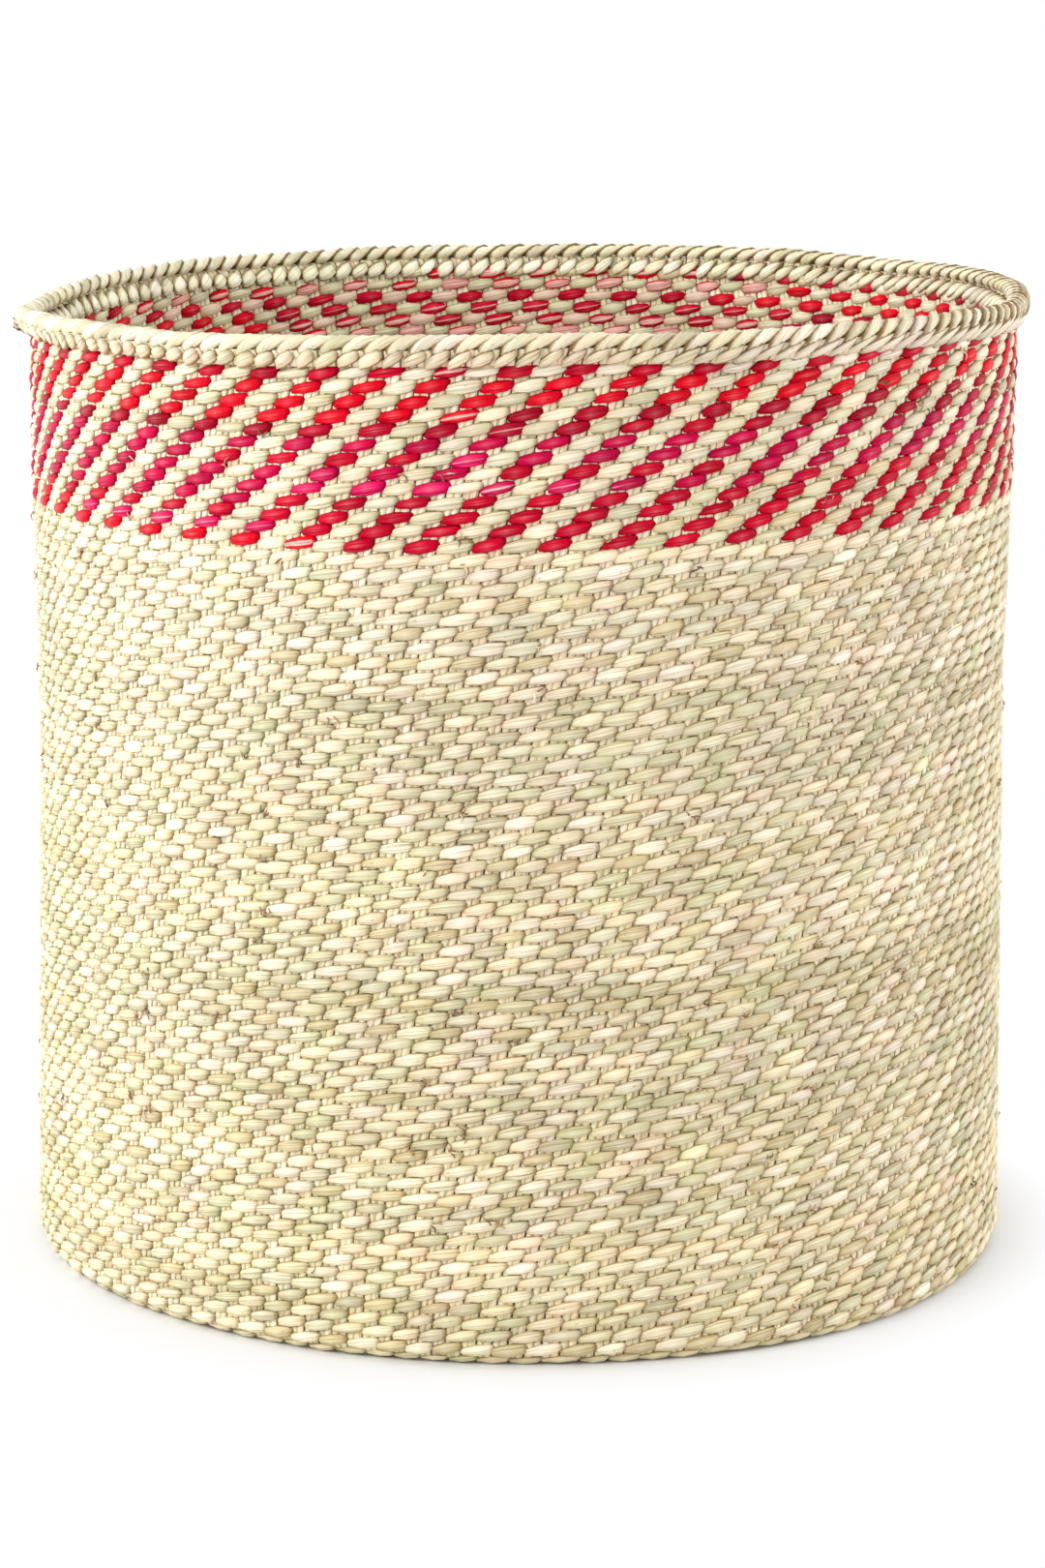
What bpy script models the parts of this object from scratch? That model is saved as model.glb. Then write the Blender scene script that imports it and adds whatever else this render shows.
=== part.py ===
"""Twined reed basket: a round storage basket with straight sides, an open top and a dyed band.

A twined basket is a cage of stakes held by wefts. The stakes cross in the middle of the base, run out
under it, turn up at the foot and stand in the wall. The wefts pass on both faces of the stakes and cross
between them, so each run of weft here is a ring with one slot for each bundle of stakes. The stakes'
ends are folded over into the rim roll.

The frame is +Z up, with the origin on the floor at the basket's axis. Sizes are in metres.
"""

import math

import bmesh
import bpy
from mathutils import Matrix, Vector

MM = 0.001

# Layers of the wall and the base, from the outer face to the inner one: strand, stakes, strand.
STRAND_THICKNESS = 2.3 * MM
STAKE_THICKNESS = 2.0 * MM
CLEARANCE = 0.3 * MM

# Outer radius of the wall at the foot, how much narrower it is at the top, and the rounding of its lower edge.
WALL_FOOT_RADIUS = 162.4 * MM
WALL_TAPER = 2.4 * MM
FOOT_ROUNDING = 5.6 * MM

# Rows of twining up the wall.
NATURAL_ROW_HEIGHT = 4.38 * MM
NATURAL_RUNS = (19, 19, 18)
DYED_ROW_HEIGHT = 4.26 * MM

# Relief of the twining: the wall's outer face swells over each group of rows and draws in between groups.
ROWS_PER_RIB = 4
RIB_RELIEF = 1.1 * MM

# Foot and base. The foot ring is the corner that joins the base to the wall.
FOOT_HEIGHT = 7.4 * MM
FOOT_WIDTH = 12.0 * MM
BASE_START_RADIUS = 38.0 * MM
BASE_RUN_COUNT = 2

# Border: a row of twine that leans outwards, and the roll of folded stake ends that overhangs it.
BORDER_TWINE_HEIGHT = 4.2 * MM
BORDER_LEAN = 2.6 * MM
RIM_ROLL_HEIGHT = 4.4 * MM
RIM_ROLL_WIDTH = 9.0 * MM
RIM_OVERHANG = 3.4 * MM

# Stakes are modelled in bundles. A bundle fills this share of its sector, and the strands cross in the rest.
BUNDLE_COUNT = 23
BUNDLE_SHARE = 0.88

# Facets: each sector has two, a rounded edge has three, and the rim roll's section has eight.
FACETS_PER_SECTOR = 2
ROUNDING_FACETS = 3
ROLL_FACETS = 8

# How far the slots' cutter runs past what it cuts.
CUT_OVERRUN = 1.5 * MM

# Reed finishes: colour, then roughness.
NATURAL_REED = ("natural_reed", (0.70, 0.66, 0.48, 1.0), 0.62)
PALE_REED = ("pale_reed", (0.76, 0.70, 0.52, 1.0), 0.68)
RED_REED = ("red_reed", (0.72, 0.03, 0.05, 1.0), 0.50)
CRIMSON_REED = ("crimson_reed", (0.50, 0.02, 0.06, 1.0), 0.50)
MAGENTA_REED = ("magenta_reed", (0.60, 0.03, 0.20, 1.0), 0.50)

# Lots of dyed reed in the band, from the bottom up: name, rows, finish.
DYED_RUNS = (
    ("band_weft_red_lower", 4, RED_REED),
    ("band_weft_magenta", 4, MAGENTA_REED),
    ("band_weft_crimson", 2, CRIMSON_REED),
    ("band_weft_red_upper", 3, RED_REED),
)

WALL_THICKNESS = 2.0 * (STRAND_THICKNESS + CLEARANCE) + STAKE_THICKNESS
SECTOR = 2.0 * math.pi / BUNDLE_COUNT
BAND_FOOT_Z = FOOT_HEIGHT + sum(NATURAL_RUNS) * NATURAL_ROW_HEIGHT
BAND_TOP_Z = BAND_FOOT_Z + sum(rows for _, rows, _ in DYED_RUNS) * DYED_ROW_HEIGHT
BORDER_TOP_Z = BAND_TOP_Z + BORDER_TWINE_HEIGHT


def reed_material(finish):
    """Return the material of a reed finish, made on its first use."""
    name, colour, roughness = finish
    material = bpy.data.materials.get(name)
    if material is None:
        material = bpy.data.materials.new(name)
        material.use_nodes = True
        shader = material.node_tree.nodes["Principled BSDF"]
        shader.inputs["Base Color"].default_value = colour
        shader.inputs["Roughness"].default_value = roughness
        shader.inputs["Metallic"].default_value = 0.0
        material.diffuse_color = colour
    return material


def add_object(name, mesh_data, finish):
    """Turn a bmesh into a smooth-shaded object with one reed finish."""
    bmesh.ops.recalc_face_normals(mesh_data, faces=mesh_data.faces)
    mesh = bpy.data.meshes.new(name)
    mesh_data.to_mesh(mesh)
    mesh_data.free()
    mesh.materials.append(reed_material(finish))
    mesh.shade_smooth()
    mesh.set_sharp_from_angle(angle=math.radians(30.0))
    part = bpy.data.objects.new(name, mesh)
    bpy.context.scene.collection.objects.link(part)
    return part


def turned_ring(name, profile, finish):
    """Spin a closed profile of (radius, height) points about the basket's axis."""
    mesh_data = bmesh.new()
    loop = [mesh_data.verts.new((radius, 0.0, height)) for radius, height in profile]
    edges = [mesh_data.edges.new((loop[i - 1], loop[i])) for i in range(len(loop))]
    bmesh.ops.spin(
        mesh_data,
        geom=loop + edges,
        cent=Vector(),
        axis=Vector((0.0, 0.0, 1.0)),
        angle=2.0 * math.pi,
        steps=BUNDLE_COUNT * FACETS_PER_SECTOR,
        use_merge=True,
    )
    return add_object(name, mesh_data, finish)


def wall_radius(height):
    """Outer radius of the wall, which tapers evenly from the foot to the top of the band."""
    along = (height - FOOT_ROUNDING) / (BAND_TOP_Z - FOOT_ROUNDING)
    return WALL_FOOT_RADIUS - along * WALL_TAPER


def rounded_foot(depth):
    """Points on the rounded lower edge, at a depth below the outer face, from the floor side up."""
    centre = WALL_FOOT_RADIUS - FOOT_ROUNDING
    radius = FOOT_ROUNDING - depth
    turns = [0.5 * math.pi * step / ROUNDING_FACETS for step in range(ROUNDING_FACETS + 1)]
    return [(centre + radius * math.sin(turn), FOOT_ROUNDING - radius * math.cos(turn)) for turn in turns]


def stake_face(depth, start, end):
    """Line at a depth below the outer face, from a radius on the base to an end height above the wall."""
    lean = BORDER_LEAN / BORDER_TWINE_HEIGHT
    points = [(start, depth)]
    points += rounded_foot(depth)
    points.append((wall_radius(BAND_TOP_Z) - depth, BAND_TOP_Z))
    points.append((wall_radius(BAND_TOP_Z) - depth + lean * (end - BAND_TOP_Z), end))
    return points


def stake_bundle(name, growth, start, end):
    """Bundle of stakes about the XZ plane: along the base, round the foot and up the wall.

    Growth is added on every face but the two ends, which makes the same shape serve as a slot's cutter.
    """
    outer_depth = STRAND_THICKNESS + CLEARANCE - growth
    inner_depth = outer_depth + STAKE_THICKNESS + 2.0 * growth
    outline = stake_face(outer_depth, start, end) + stake_face(inner_depth, start, end)[::-1]
    half_angle = 0.5 * SECTOR * BUNDLE_SHARE
    mesh_data = bmesh.new()
    sections = []
    for side in (-1.0, 0.0, 1.0):
        section = []
        for radius, height in outline:
            angle = side * (half_angle + growth / radius)
            section.append(mesh_data.verts.new((radius * math.cos(angle), radius * math.sin(angle), height)))
        sections.append(section)
    for left, right in zip(sections, sections[1:]):
        for i in range(len(outline)):
            mesh_data.faces.new((left[i - 1], left[i], right[i], right[i - 1]))
    mesh_data.faces.new(sections[0])
    mesh_data.faces.new(sections[-1])
    return add_object(name, mesh_data, PALE_REED)


def slot_cutter():
    """All the slots at once: every bundle, grown by the clearance and run past both its ends."""
    start = BASE_START_RADIUS - CUT_OVERRUN
    cutter = stake_bundle("slots", CLEARANCE, start, BORDER_TOP_Z + CUT_OVERRUN)
    mesh_data = bmesh.new()
    for index in range(BUNDLE_COUNT):
        first = len(mesh_data.verts)
        mesh_data.from_mesh(cutter.data)
        mesh_data.verts.ensure_lookup_table()
        turn = Matrix.Rotation(index * SECTOR, 3, "Z")
        bmesh.ops.rotate(mesh_data, verts=mesh_data.verts[first:], matrix=turn, cent=Vector())
    mesh_data.to_mesh(cutter.data)
    mesh_data.free()
    cutter.hide_render = True
    cutter.display_type = "WIRE"
    return cutter


def cut_slots(part, cutter):
    """Open a slot in a run of weft for each bundle of stakes."""
    cut = part.modifiers.new("slots", "BOOLEAN")
    cut.operation = "DIFFERENCE"
    cut.object = cutter
    cut.solver = "EXACT"
    return part


def build_stakes():
    """Stand the bundles of stakes round the axis. They end just below the rim roll."""
    first = stake_bundle("stakes_01", 0.0, BASE_START_RADIUS + CLEARANCE, BORDER_TOP_Z)
    for index in range(1, BUNDLE_COUNT):
        copy = bpy.data.objects.new(f"stakes_{index + 1:02d}", first.data)
        copy.rotation_euler.z = index * SECTOR
        bpy.context.scene.collection.objects.link(copy)


def build_base(cutter):
    """Make the lashed middle of the base and the runs of weft from there out to the foot."""
    start = bmesh.new()
    first_facet_on_x = Matrix.Rotation(0.5 * math.pi, 4, "Z")
    bmesh.ops.create_cone(
        start,
        cap_ends=True,
        segments=BUNDLE_COUNT * FACETS_PER_SECTOR,
        radius1=BASE_START_RADIUS,
        radius2=BASE_START_RADIUS,
        depth=WALL_THICKNESS,
        matrix=Matrix.Translation((0.0, 0.0, 0.5 * WALL_THICKNESS)) @ first_facet_on_x,
    )
    add_object("base_start", start, PALE_REED)
    inner_edge = BASE_START_RADIUS
    width = (WALL_FOOT_RADIUS - FOOT_WIDTH - BASE_START_RADIUS) / BASE_RUN_COUNT
    for index in range(BASE_RUN_COUNT):
        outer_edge = inner_edge + width
        inner = inner_edge + CLEARANCE
        profile = [(inner, 0.0), (outer_edge, 0.0), (outer_edge, WALL_THICKNESS), (inner, WALL_THICKNESS)]
        cut_slots(turned_ring(f"base_weft_{index + 1}", profile, NATURAL_REED), cutter)
        inner_edge = outer_edge


def build_foot(cutter):
    """Make the foot ring, the corner with a rounded outer edge on which the basket stands."""
    base_edge = WALL_FOOT_RADIUS - FOOT_WIDTH + CLEARANCE
    outer = wall_radius(FOOT_HEIGHT)
    inner = outer - WALL_THICKNESS
    profile = [(base_edge, 0.0)]
    profile += rounded_foot(0.0)
    profile += [(outer, FOOT_HEIGHT), (inner, FOOT_HEIGHT), (inner, WALL_THICKNESS), (base_edge, WALL_THICKNESS)]
    cut_slots(turned_ring("foot_twine", profile, NATURAL_REED), cutter)


def ribbed_face(low, top, rows):
    """Points up the outer face of a run of weft, drawn in at both ends and between its ribs."""
    half_ribs = 2 * math.ceil(rows / ROWS_PER_RIB)
    points = []
    for step in range(half_ribs + 1):
        height = low + (top - low) * step / half_ribs
        drawn_in = RIB_RELIEF if step % 2 == 0 else 0.0
        points.append((wall_radius(height) - drawn_in, height))
    return points


def build_wall_run(name, bottom, top, rows, finish, cutter):
    """Make one run of weft in the wall, standing its clearance above the run below."""
    low = bottom + CLEARANCE
    profile = [(wall_radius(low) - WALL_THICKNESS, low)]
    profile += ribbed_face(low, top, rows)
    profile.append((wall_radius(top) - WALL_THICKNESS, top))
    cut_slots(turned_ring(name, profile, finish), cutter)


def build_wall(cutter):
    """Stack the natural runs, then the dyed lots of the band."""
    bottom = FOOT_HEIGHT
    for index, rows in enumerate(NATURAL_RUNS):
        top = bottom + rows * NATURAL_ROW_HEIGHT
        build_wall_run(f"natural_weft_{index + 1}", bottom, top, rows, NATURAL_REED, cutter)
        bottom = top
    for name, rows, finish in DYED_RUNS:
        top = bottom + rows * DYED_ROW_HEIGHT
        build_wall_run(name, bottom, top, rows, finish, cutter)
        bottom = top


def build_border(cutter):
    """Make the leaning row of border twine and the rounded rim roll above it."""
    low = BAND_TOP_Z + CLEARANCE
    lean = BORDER_LEAN / BORDER_TWINE_HEIGHT
    outer_low = wall_radius(BAND_TOP_Z) + lean * CLEARANCE
    outer_top = wall_radius(BAND_TOP_Z) + BORDER_LEAN
    profile = [
        (outer_low - WALL_THICKNESS, low),
        (outer_low, low),
        (outer_top, BORDER_TOP_Z),
        (outer_top - WALL_THICKNESS, BORDER_TOP_Z),
    ]
    cut_slots(turned_ring("border_twine", profile, NATURAL_REED), cutter)
    half_width = 0.5 * RIM_ROLL_WIDTH
    half_height = 0.5 * (RIM_ROLL_HEIGHT - CLEARANCE)
    centre_radius = outer_top + RIM_OVERHANG - half_width
    centre_height = BORDER_TOP_Z + CLEARANCE + half_height
    roll = []
    for step in range(ROLL_FACETS):
        turn = 2.0 * math.pi * step / ROLL_FACETS
        roll.append((centre_radius + half_width * math.cos(turn), centre_height + half_height * math.sin(turn)))
    turned_ring("rim_roll", roll, NATURAL_REED)


def build_basket():
    """Clear the scene and build every piece of the basket."""
    for leftover in list(bpy.data.objects):
        bpy.data.objects.remove(leftover, do_unlink=True)
    cutter = slot_cutter()
    build_stakes()
    build_base(cutter)
    build_foot(cutter)
    build_wall(cutter)
    build_border(cutter)


build_basket()
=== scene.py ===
"""Looks of a twined reed basket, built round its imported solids.

Every strand is a mesh of its own. Two running reeds twist round each other and enclose the stakes, row on
row, in one spiral from the edge of the base to the border. The base is twined in rings. Sizes are in metres,
in the frame's own axes.
"""

from __future__ import annotations

import logging
import math
from dataclasses import dataclass, field
from enum import Enum
from typing import Any, Mapping, Optional, Sequence, Union

import bpy
import numpy as np
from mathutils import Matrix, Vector

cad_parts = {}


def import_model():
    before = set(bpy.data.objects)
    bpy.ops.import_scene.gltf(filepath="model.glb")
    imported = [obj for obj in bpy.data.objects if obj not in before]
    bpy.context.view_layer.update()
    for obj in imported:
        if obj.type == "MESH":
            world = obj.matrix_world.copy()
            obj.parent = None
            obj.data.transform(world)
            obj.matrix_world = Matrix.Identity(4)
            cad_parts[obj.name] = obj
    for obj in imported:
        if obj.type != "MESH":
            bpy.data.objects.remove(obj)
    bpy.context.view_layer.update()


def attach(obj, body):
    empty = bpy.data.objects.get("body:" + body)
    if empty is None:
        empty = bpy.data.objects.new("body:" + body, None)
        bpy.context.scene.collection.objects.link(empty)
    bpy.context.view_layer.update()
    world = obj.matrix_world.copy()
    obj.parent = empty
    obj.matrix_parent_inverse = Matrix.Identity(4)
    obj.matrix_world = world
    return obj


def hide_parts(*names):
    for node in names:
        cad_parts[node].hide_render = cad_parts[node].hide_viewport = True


MM = 0.001
TURN = 2.0 * math.pi
HALF = 0.5 * TURN
QUARTER = 0.25 * TURN
BACK = QUARTER
WHITE = (1.0, 1.0, 1.0, 1.0)

# A stitch passes over two stakes. A count is nudged before it is rounded down, so that whole numbers stay.
STITCH_STAKES = 2.0
COUNT_NUDGE = 1e-3
# How much narrower or broader than its reed's a stitch's undyed streak may be.
STREAK_CHANGES = (0.5, 1.3)

Colour = tuple[float, float, float, float]
Operand = Union["Value", float]

log = logging.getLogger("basket")


def linear(red: int, green: int, blue: int) -> Colour:
    """Turn a display colour into a linear one, by the sRGB curve.

    Args:
        red: Red, from 0 to 255.
        green: Green, from 0 to 255.
        blue: Blue, from 0 to 255.

    Returns:
        The linear colour, with full alpha.
    """
    shares = [channel / 255.0 for channel in (red, green, blue)]
    low = [share / 12.92 for share in shares]
    high = [((share + 0.055) / 1.055) ** 2.4 for share in shares]
    mixed = [below if share <= 0.04045 else above for share, below, above in zip(shares, low, high)]
    return (mixed[0], mixed[1], mixed[2], 1.0)


@dataclass(frozen=True)
class Value:
    """An output of a node, which adds Math nodes to its graph when it is used in arithmetic."""

    graph: "Graph"
    socket: bpy.types.NodeSocket

    def output(self, name: str) -> "Value":
        """Return another output of the same node."""
        return Value(self.graph, self.socket.node.outputs[name])

    def math(self, operation: str, *others: Operand) -> "Value":
        """Add a Math node that takes this value first.

        Args:
            operation: The Math node's operation.
            others: Its other operands.

        Returns:
            The result.
        """
        return self.graph.math(operation, self, *others)

    def __add__(self, other: Operand) -> "Value":
        """Add."""
        return self.math("ADD", other)

    def __radd__(self, other: float) -> "Value":
        """Add to a number."""
        return self.math("ADD", other)

    def __sub__(self, other: Operand) -> "Value":
        """Subtract."""
        return self.math("SUBTRACT", other)

    def __rsub__(self, other: float) -> "Value":
        """Subtract from a number."""
        return self.graph.math("SUBTRACT", other, self)

    def __mul__(self, other: Operand) -> "Value":
        """Multiply."""
        return self.math("MULTIPLY", other)

    def __rmul__(self, other: float) -> "Value":
        """Multiply a number."""
        return self.math("MULTIPLY", other)

    def __truediv__(self, other: Operand) -> "Value":
        """Divide."""
        return self.math("DIVIDE", other)

    def __rtruediv__(self, other: float) -> "Value":
        """Divide a number."""
        return self.graph.math("DIVIDE", other, self)

    def __pow__(self, other: Operand) -> "Value":
        """Raise to a power."""
        return self.math("POWER", other)

    def __mod__(self, other: Operand) -> "Value":
        """Take the remainder."""
        return self.math("FLOORED_MODULO", other)

    def __neg__(self) -> "Value":
        """Change the sign."""
        return self.math("MULTIPLY", -1.0)

    def __gt__(self, other: Operand) -> "Value":
        """Return 1 where this is greater, and 0 elsewhere."""
        return self.math("GREATER_THAN", other)

    def floor(self) -> "Value":
        """Round down."""
        return self.math("FLOOR")

    def sine(self) -> "Value":
        """Take the sine."""
        return self.math("SINE")

    def cosine(self) -> "Value":
        """Take the cosine."""
        return self.math("COSINE")

    def sign(self) -> "Value":
        """Return -1, 0 or 1."""
        return self.math("SIGN")

    def least(self, other: Operand) -> "Value":
        """Return the smaller of the two."""
        return self.math("MINIMUM", other)

    def most(self, other: Operand) -> "Value":
        """Return the larger of the two."""
        return self.math("MAXIMUM", other)

    def clamped(self, low: float = 0.0, high: float = 1.0) -> "Value":
        """Hold between two limits."""
        return self.most(low).least(high)


class Graph:
    """A node tree under construction."""

    def __init__(self, tree: bpy.types.NodeTree) -> None:
        """Start on an empty tree."""
        self.tree = tree

    def node(
        self,
        kind: str,
        settings: Optional[Mapping[str, Any]] = None,
        inputs: Optional[Mapping[Union[str, int], Any]] = None,
    ) -> Value:
        """Add a node.

        Args:
            kind: The node's type.
            settings: Its properties.
            inputs: Numbers or values for its sockets, by name or index.

        Returns:
            Its first output that is in use.
        """
        made = self.tree.nodes.new(kind)
        for name, setting in (settings or {}).items():
            setattr(made, name, setting)
        for key, operand in (inputs or {}).items():
            socket = self._inlet_of(made, key)
            if isinstance(operand, Value):
                self.tree.links.new(operand.socket, socket)
            else:
                socket.default_value = operand
        return Value(self, next((outlet for outlet in made.outputs if outlet.enabled), None))

    def math(self, operation: str, *operands: Operand) -> Value:
        """Add a Math node on values and numbers."""
        return self.node("ShaderNodeMath", {"operation": operation}, dict(enumerate(operands)))

    def vector(self, x: Operand, y: Operand, z: Operand) -> Value:
        """Combine three numbers into a vector."""
        return self.node("ShaderNodeCombineXYZ", None, {"X": x, "Y": y, "Z": z})

    def mix(self, blend: str, share: Operand, first: Value, second: Union[Value, Colour]) -> Value:
        """Blend a colour into another one."""
        inputs = {"Factor": share, "A": first, "B": second}
        return self.node("ShaderNodeMix", {"data_type": "RGBA", "blend_type": blend}, inputs)

    def stored(self, name: str) -> Value:
        """Read what a Geometry Nodes tree or a painter stored on the mesh under a name."""
        return self.node("ShaderNodeAttribute", {"attribute_name": name})

    @staticmethod
    def _inlet_of(made: bpy.types.Node, key: Union[str, int]) -> bpy.types.NodeSocket:
        """Find an input by its index, or by its name among those in use."""
        if isinstance(key, int):
            return made.inputs[key]
        return next(inlet for inlet in made.inputs if inlet.enabled and inlet.name == key)


class Growth(Graph):
    """A Geometry Nodes tree with named inputs for its sizes, which grows one mesh for each set of sizes."""

    def __init__(self, name: str, counts: Sequence[str], sizes: Sequence[str]) -> None:
        """Start a tree.

        Args:
            name: The tree's name.
            counts: The names of its inputs that are whole numbers.
            sizes: The names of its other inputs, for lengths, angles and shares.
        """
        super().__init__(bpy.data.node_groups.new(name, "GeometryNodeTree"))
        self._add_inputs(counts, "NodeSocketInt")
        self._add_inputs(sizes, "NodeSocketFloat")
        self._add_inputs(("Material",), "NodeSocketMaterial")
        self.tree.interface.new_socket("Geometry", in_out="OUTPUT", socket_type="NodeSocketGeometry")
        self.entry = self.tree.nodes.new("NodeGroupInput")

    def _add_inputs(self, labels: Sequence[str], kind: str) -> None:
        """Add named inputs of one kind."""
        for label in labels:
            self.tree.interface.new_socket(label, in_out="INPUT", socket_type=kind)

    def size(self, label: str) -> Value:
        """Return a named input."""
        return Value(self, self.entry.outputs[label])

    def chance(self, low: float, high: float, piece: Value, seed: int) -> Value:
        """Return a random number that is the same all over one piece.

        Args:
            low: The least.
            high: The most.
            piece: The piece's number.
            seed: A fixed seed, to which the tree's own Seed is added.

        Returns:
            The number.
        """
        seeds = {"Min": low, "Max": high, "ID": piece, "Seed": self.size("Seed") + float(seed)}
        return self.node("FunctionNodeRandomValue", {"data_type": "FLOAT"}, seeds)

    def tube(self, sides: int, segments: Value) -> Value:
        """Add a closed tube with so many sides and segments."""
        corners = {"Vertices": sides, "Side Segments": segments}
        return self.node("GeometryNodeMeshCylinder", {"fill_type": "NGON"}, corners)

    def keep(self, geometry: Value, name: str, value: Operand, kind: str = "FLOAT") -> Value:
        """Store a value on the mesh's points under a name."""
        stored = {"Geometry": geometry, "Name": name, "Value": value}
        return self.node("GeometryNodeStoreNamedAttribute", {"data_type": kind, "domain": "POINT"}, stored)

    def close(self, mesh: Value, place: Value, marks: Mapping[str, Operand], fibre: Value) -> None:
        """End the tree: put the points in place, store what the finish reads, and dress the mesh.

        Args:
            mesh: The mesh.
            place: Where each of its points goes.
            marks: Numbers to store on the points, by name.
            fibre: The place along, across and through the reed.
        """
        geometry = self.node("GeometryNodeSetPosition", None, {"Geometry": mesh, "Position": place})
        for name, value in marks.items():
            geometry = self.keep(geometry, name, value)
        geometry = self.keep(geometry, "fibre", fibre, "FLOAT_VECTOR")
        smooth = self.node("GeometryNodeSetShadeSmooth", None, {"Geometry": geometry})
        real = self.node("GeometryNodeRealizeInstances", None, {"Geometry": smooth})
        dressed = {"Geometry": real, "Material": self.size("Material")}
        finished = self.node("GeometryNodeSetMaterial", None, dressed)
        self.tree.links.new(finished.socket, self.tree.nodes.new("NodeGroupOutput").inputs[0])

    def grow(self, name: str, material: bpy.types.Material, sizes: Mapping[str, float]) -> bpy.types.Object:
        """Grow one piece.

        Args:
            name: The piece's name.
            material: Its material.
            sizes: A number for every input.

        Returns:
            A plain mesh object without a modifier.
        """
        seed_mesh = bpy.data.meshes.new(f"{name}_seed")
        piece = bpy.data.objects.new(name, seed_mesh)
        bpy.context.scene.collection.objects.link(piece)
        modifier = piece.modifiers.new("growth", "NODES")
        modifier.node_group = self.tree
        for item in self.tree.interface.items_tree:
            if item.in_out == "INPUT":
                modifier[item.identifier] = material if item.name == "Material" else sizes[item.name]
        depsgraph = bpy.context.evaluated_depsgraph_get()
        grown = piece.evaluated_get(depsgraph)
        mesh = bpy.data.meshes.new_from_object(grown, preserve_all_data_layers=True, depsgraph=depsgraph)
        piece.modifiers.remove(modifier)
        piece.data = mesh
        mesh.name = name
        mesh.materials.clear()
        mesh.materials.append(material)
        bpy.data.meshes.remove(seed_mesh)
        return piece


@dataclass(frozen=True)
class Silhouette:
    """The line that the middle of the reedwork follows, from the base's centre out, round the foot and up."""

    bend_start: float = 156.8 * MM
    bend_height: float = 5.6 * MM
    bend_radius: float = 2.0 * MM
    bend_length: float = 6.75 * MM
    wall_taper: float = 2.4 * MM
    wall_rise: float = 302.4 * MM
    border_lean: float = 1.0
    first_lean: float = 0.34
    later_lean: float = 0.68
    lean_height: float = 50.0 * MM

    @property
    def wall_start(self) -> float:
        """Distance at which the upright wall starts."""
        return self.bend_start + self.bend_length

    def distance_at(self, height: float) -> float:
        """Distance along the line at a height on the wall."""
        return self.wall_start + height - self.bend_height

    def place(
        self, graph: Graph, distance: Value, depth: Value, angle: Value, across: Operand = 0.0
    ) -> Value:
        """Give the place of a point on the reedwork.

        Args:
            graph: The tree to add nodes to.
            distance: How far along the line the point lies.
            depth: How far it stands proud of the line, towards the outside.
            angle: Its angle round the axis, before the stakes' lean is added.
            across: How far it stands to one side, along the row.

        Returns:
            Its position.
        """
        turn = ((distance - self.bend_start) / self.bend_length).clamped() * QUARTER
        rise = (distance - self.wall_start).most(0.0)
        over = (rise - self.wall_rise).most(0.0)
        flat = distance.least(self.bend_start) - rise * (self.wall_taper / self.wall_rise)
        radius = flat + over * self.border_lean + (depth + self.bend_radius) * turn.sine()
        height = self.bend_height - (depth + self.bend_radius) * turn.cosine() + rise
        lean = rise * self.first_lean + rise * rise * self.later_lean / (rise + self.lean_height)
        heading = angle + lean + across / radius
        return graph.vector(radius * heading.cosine(), radius * heading.sine(), height)


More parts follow.
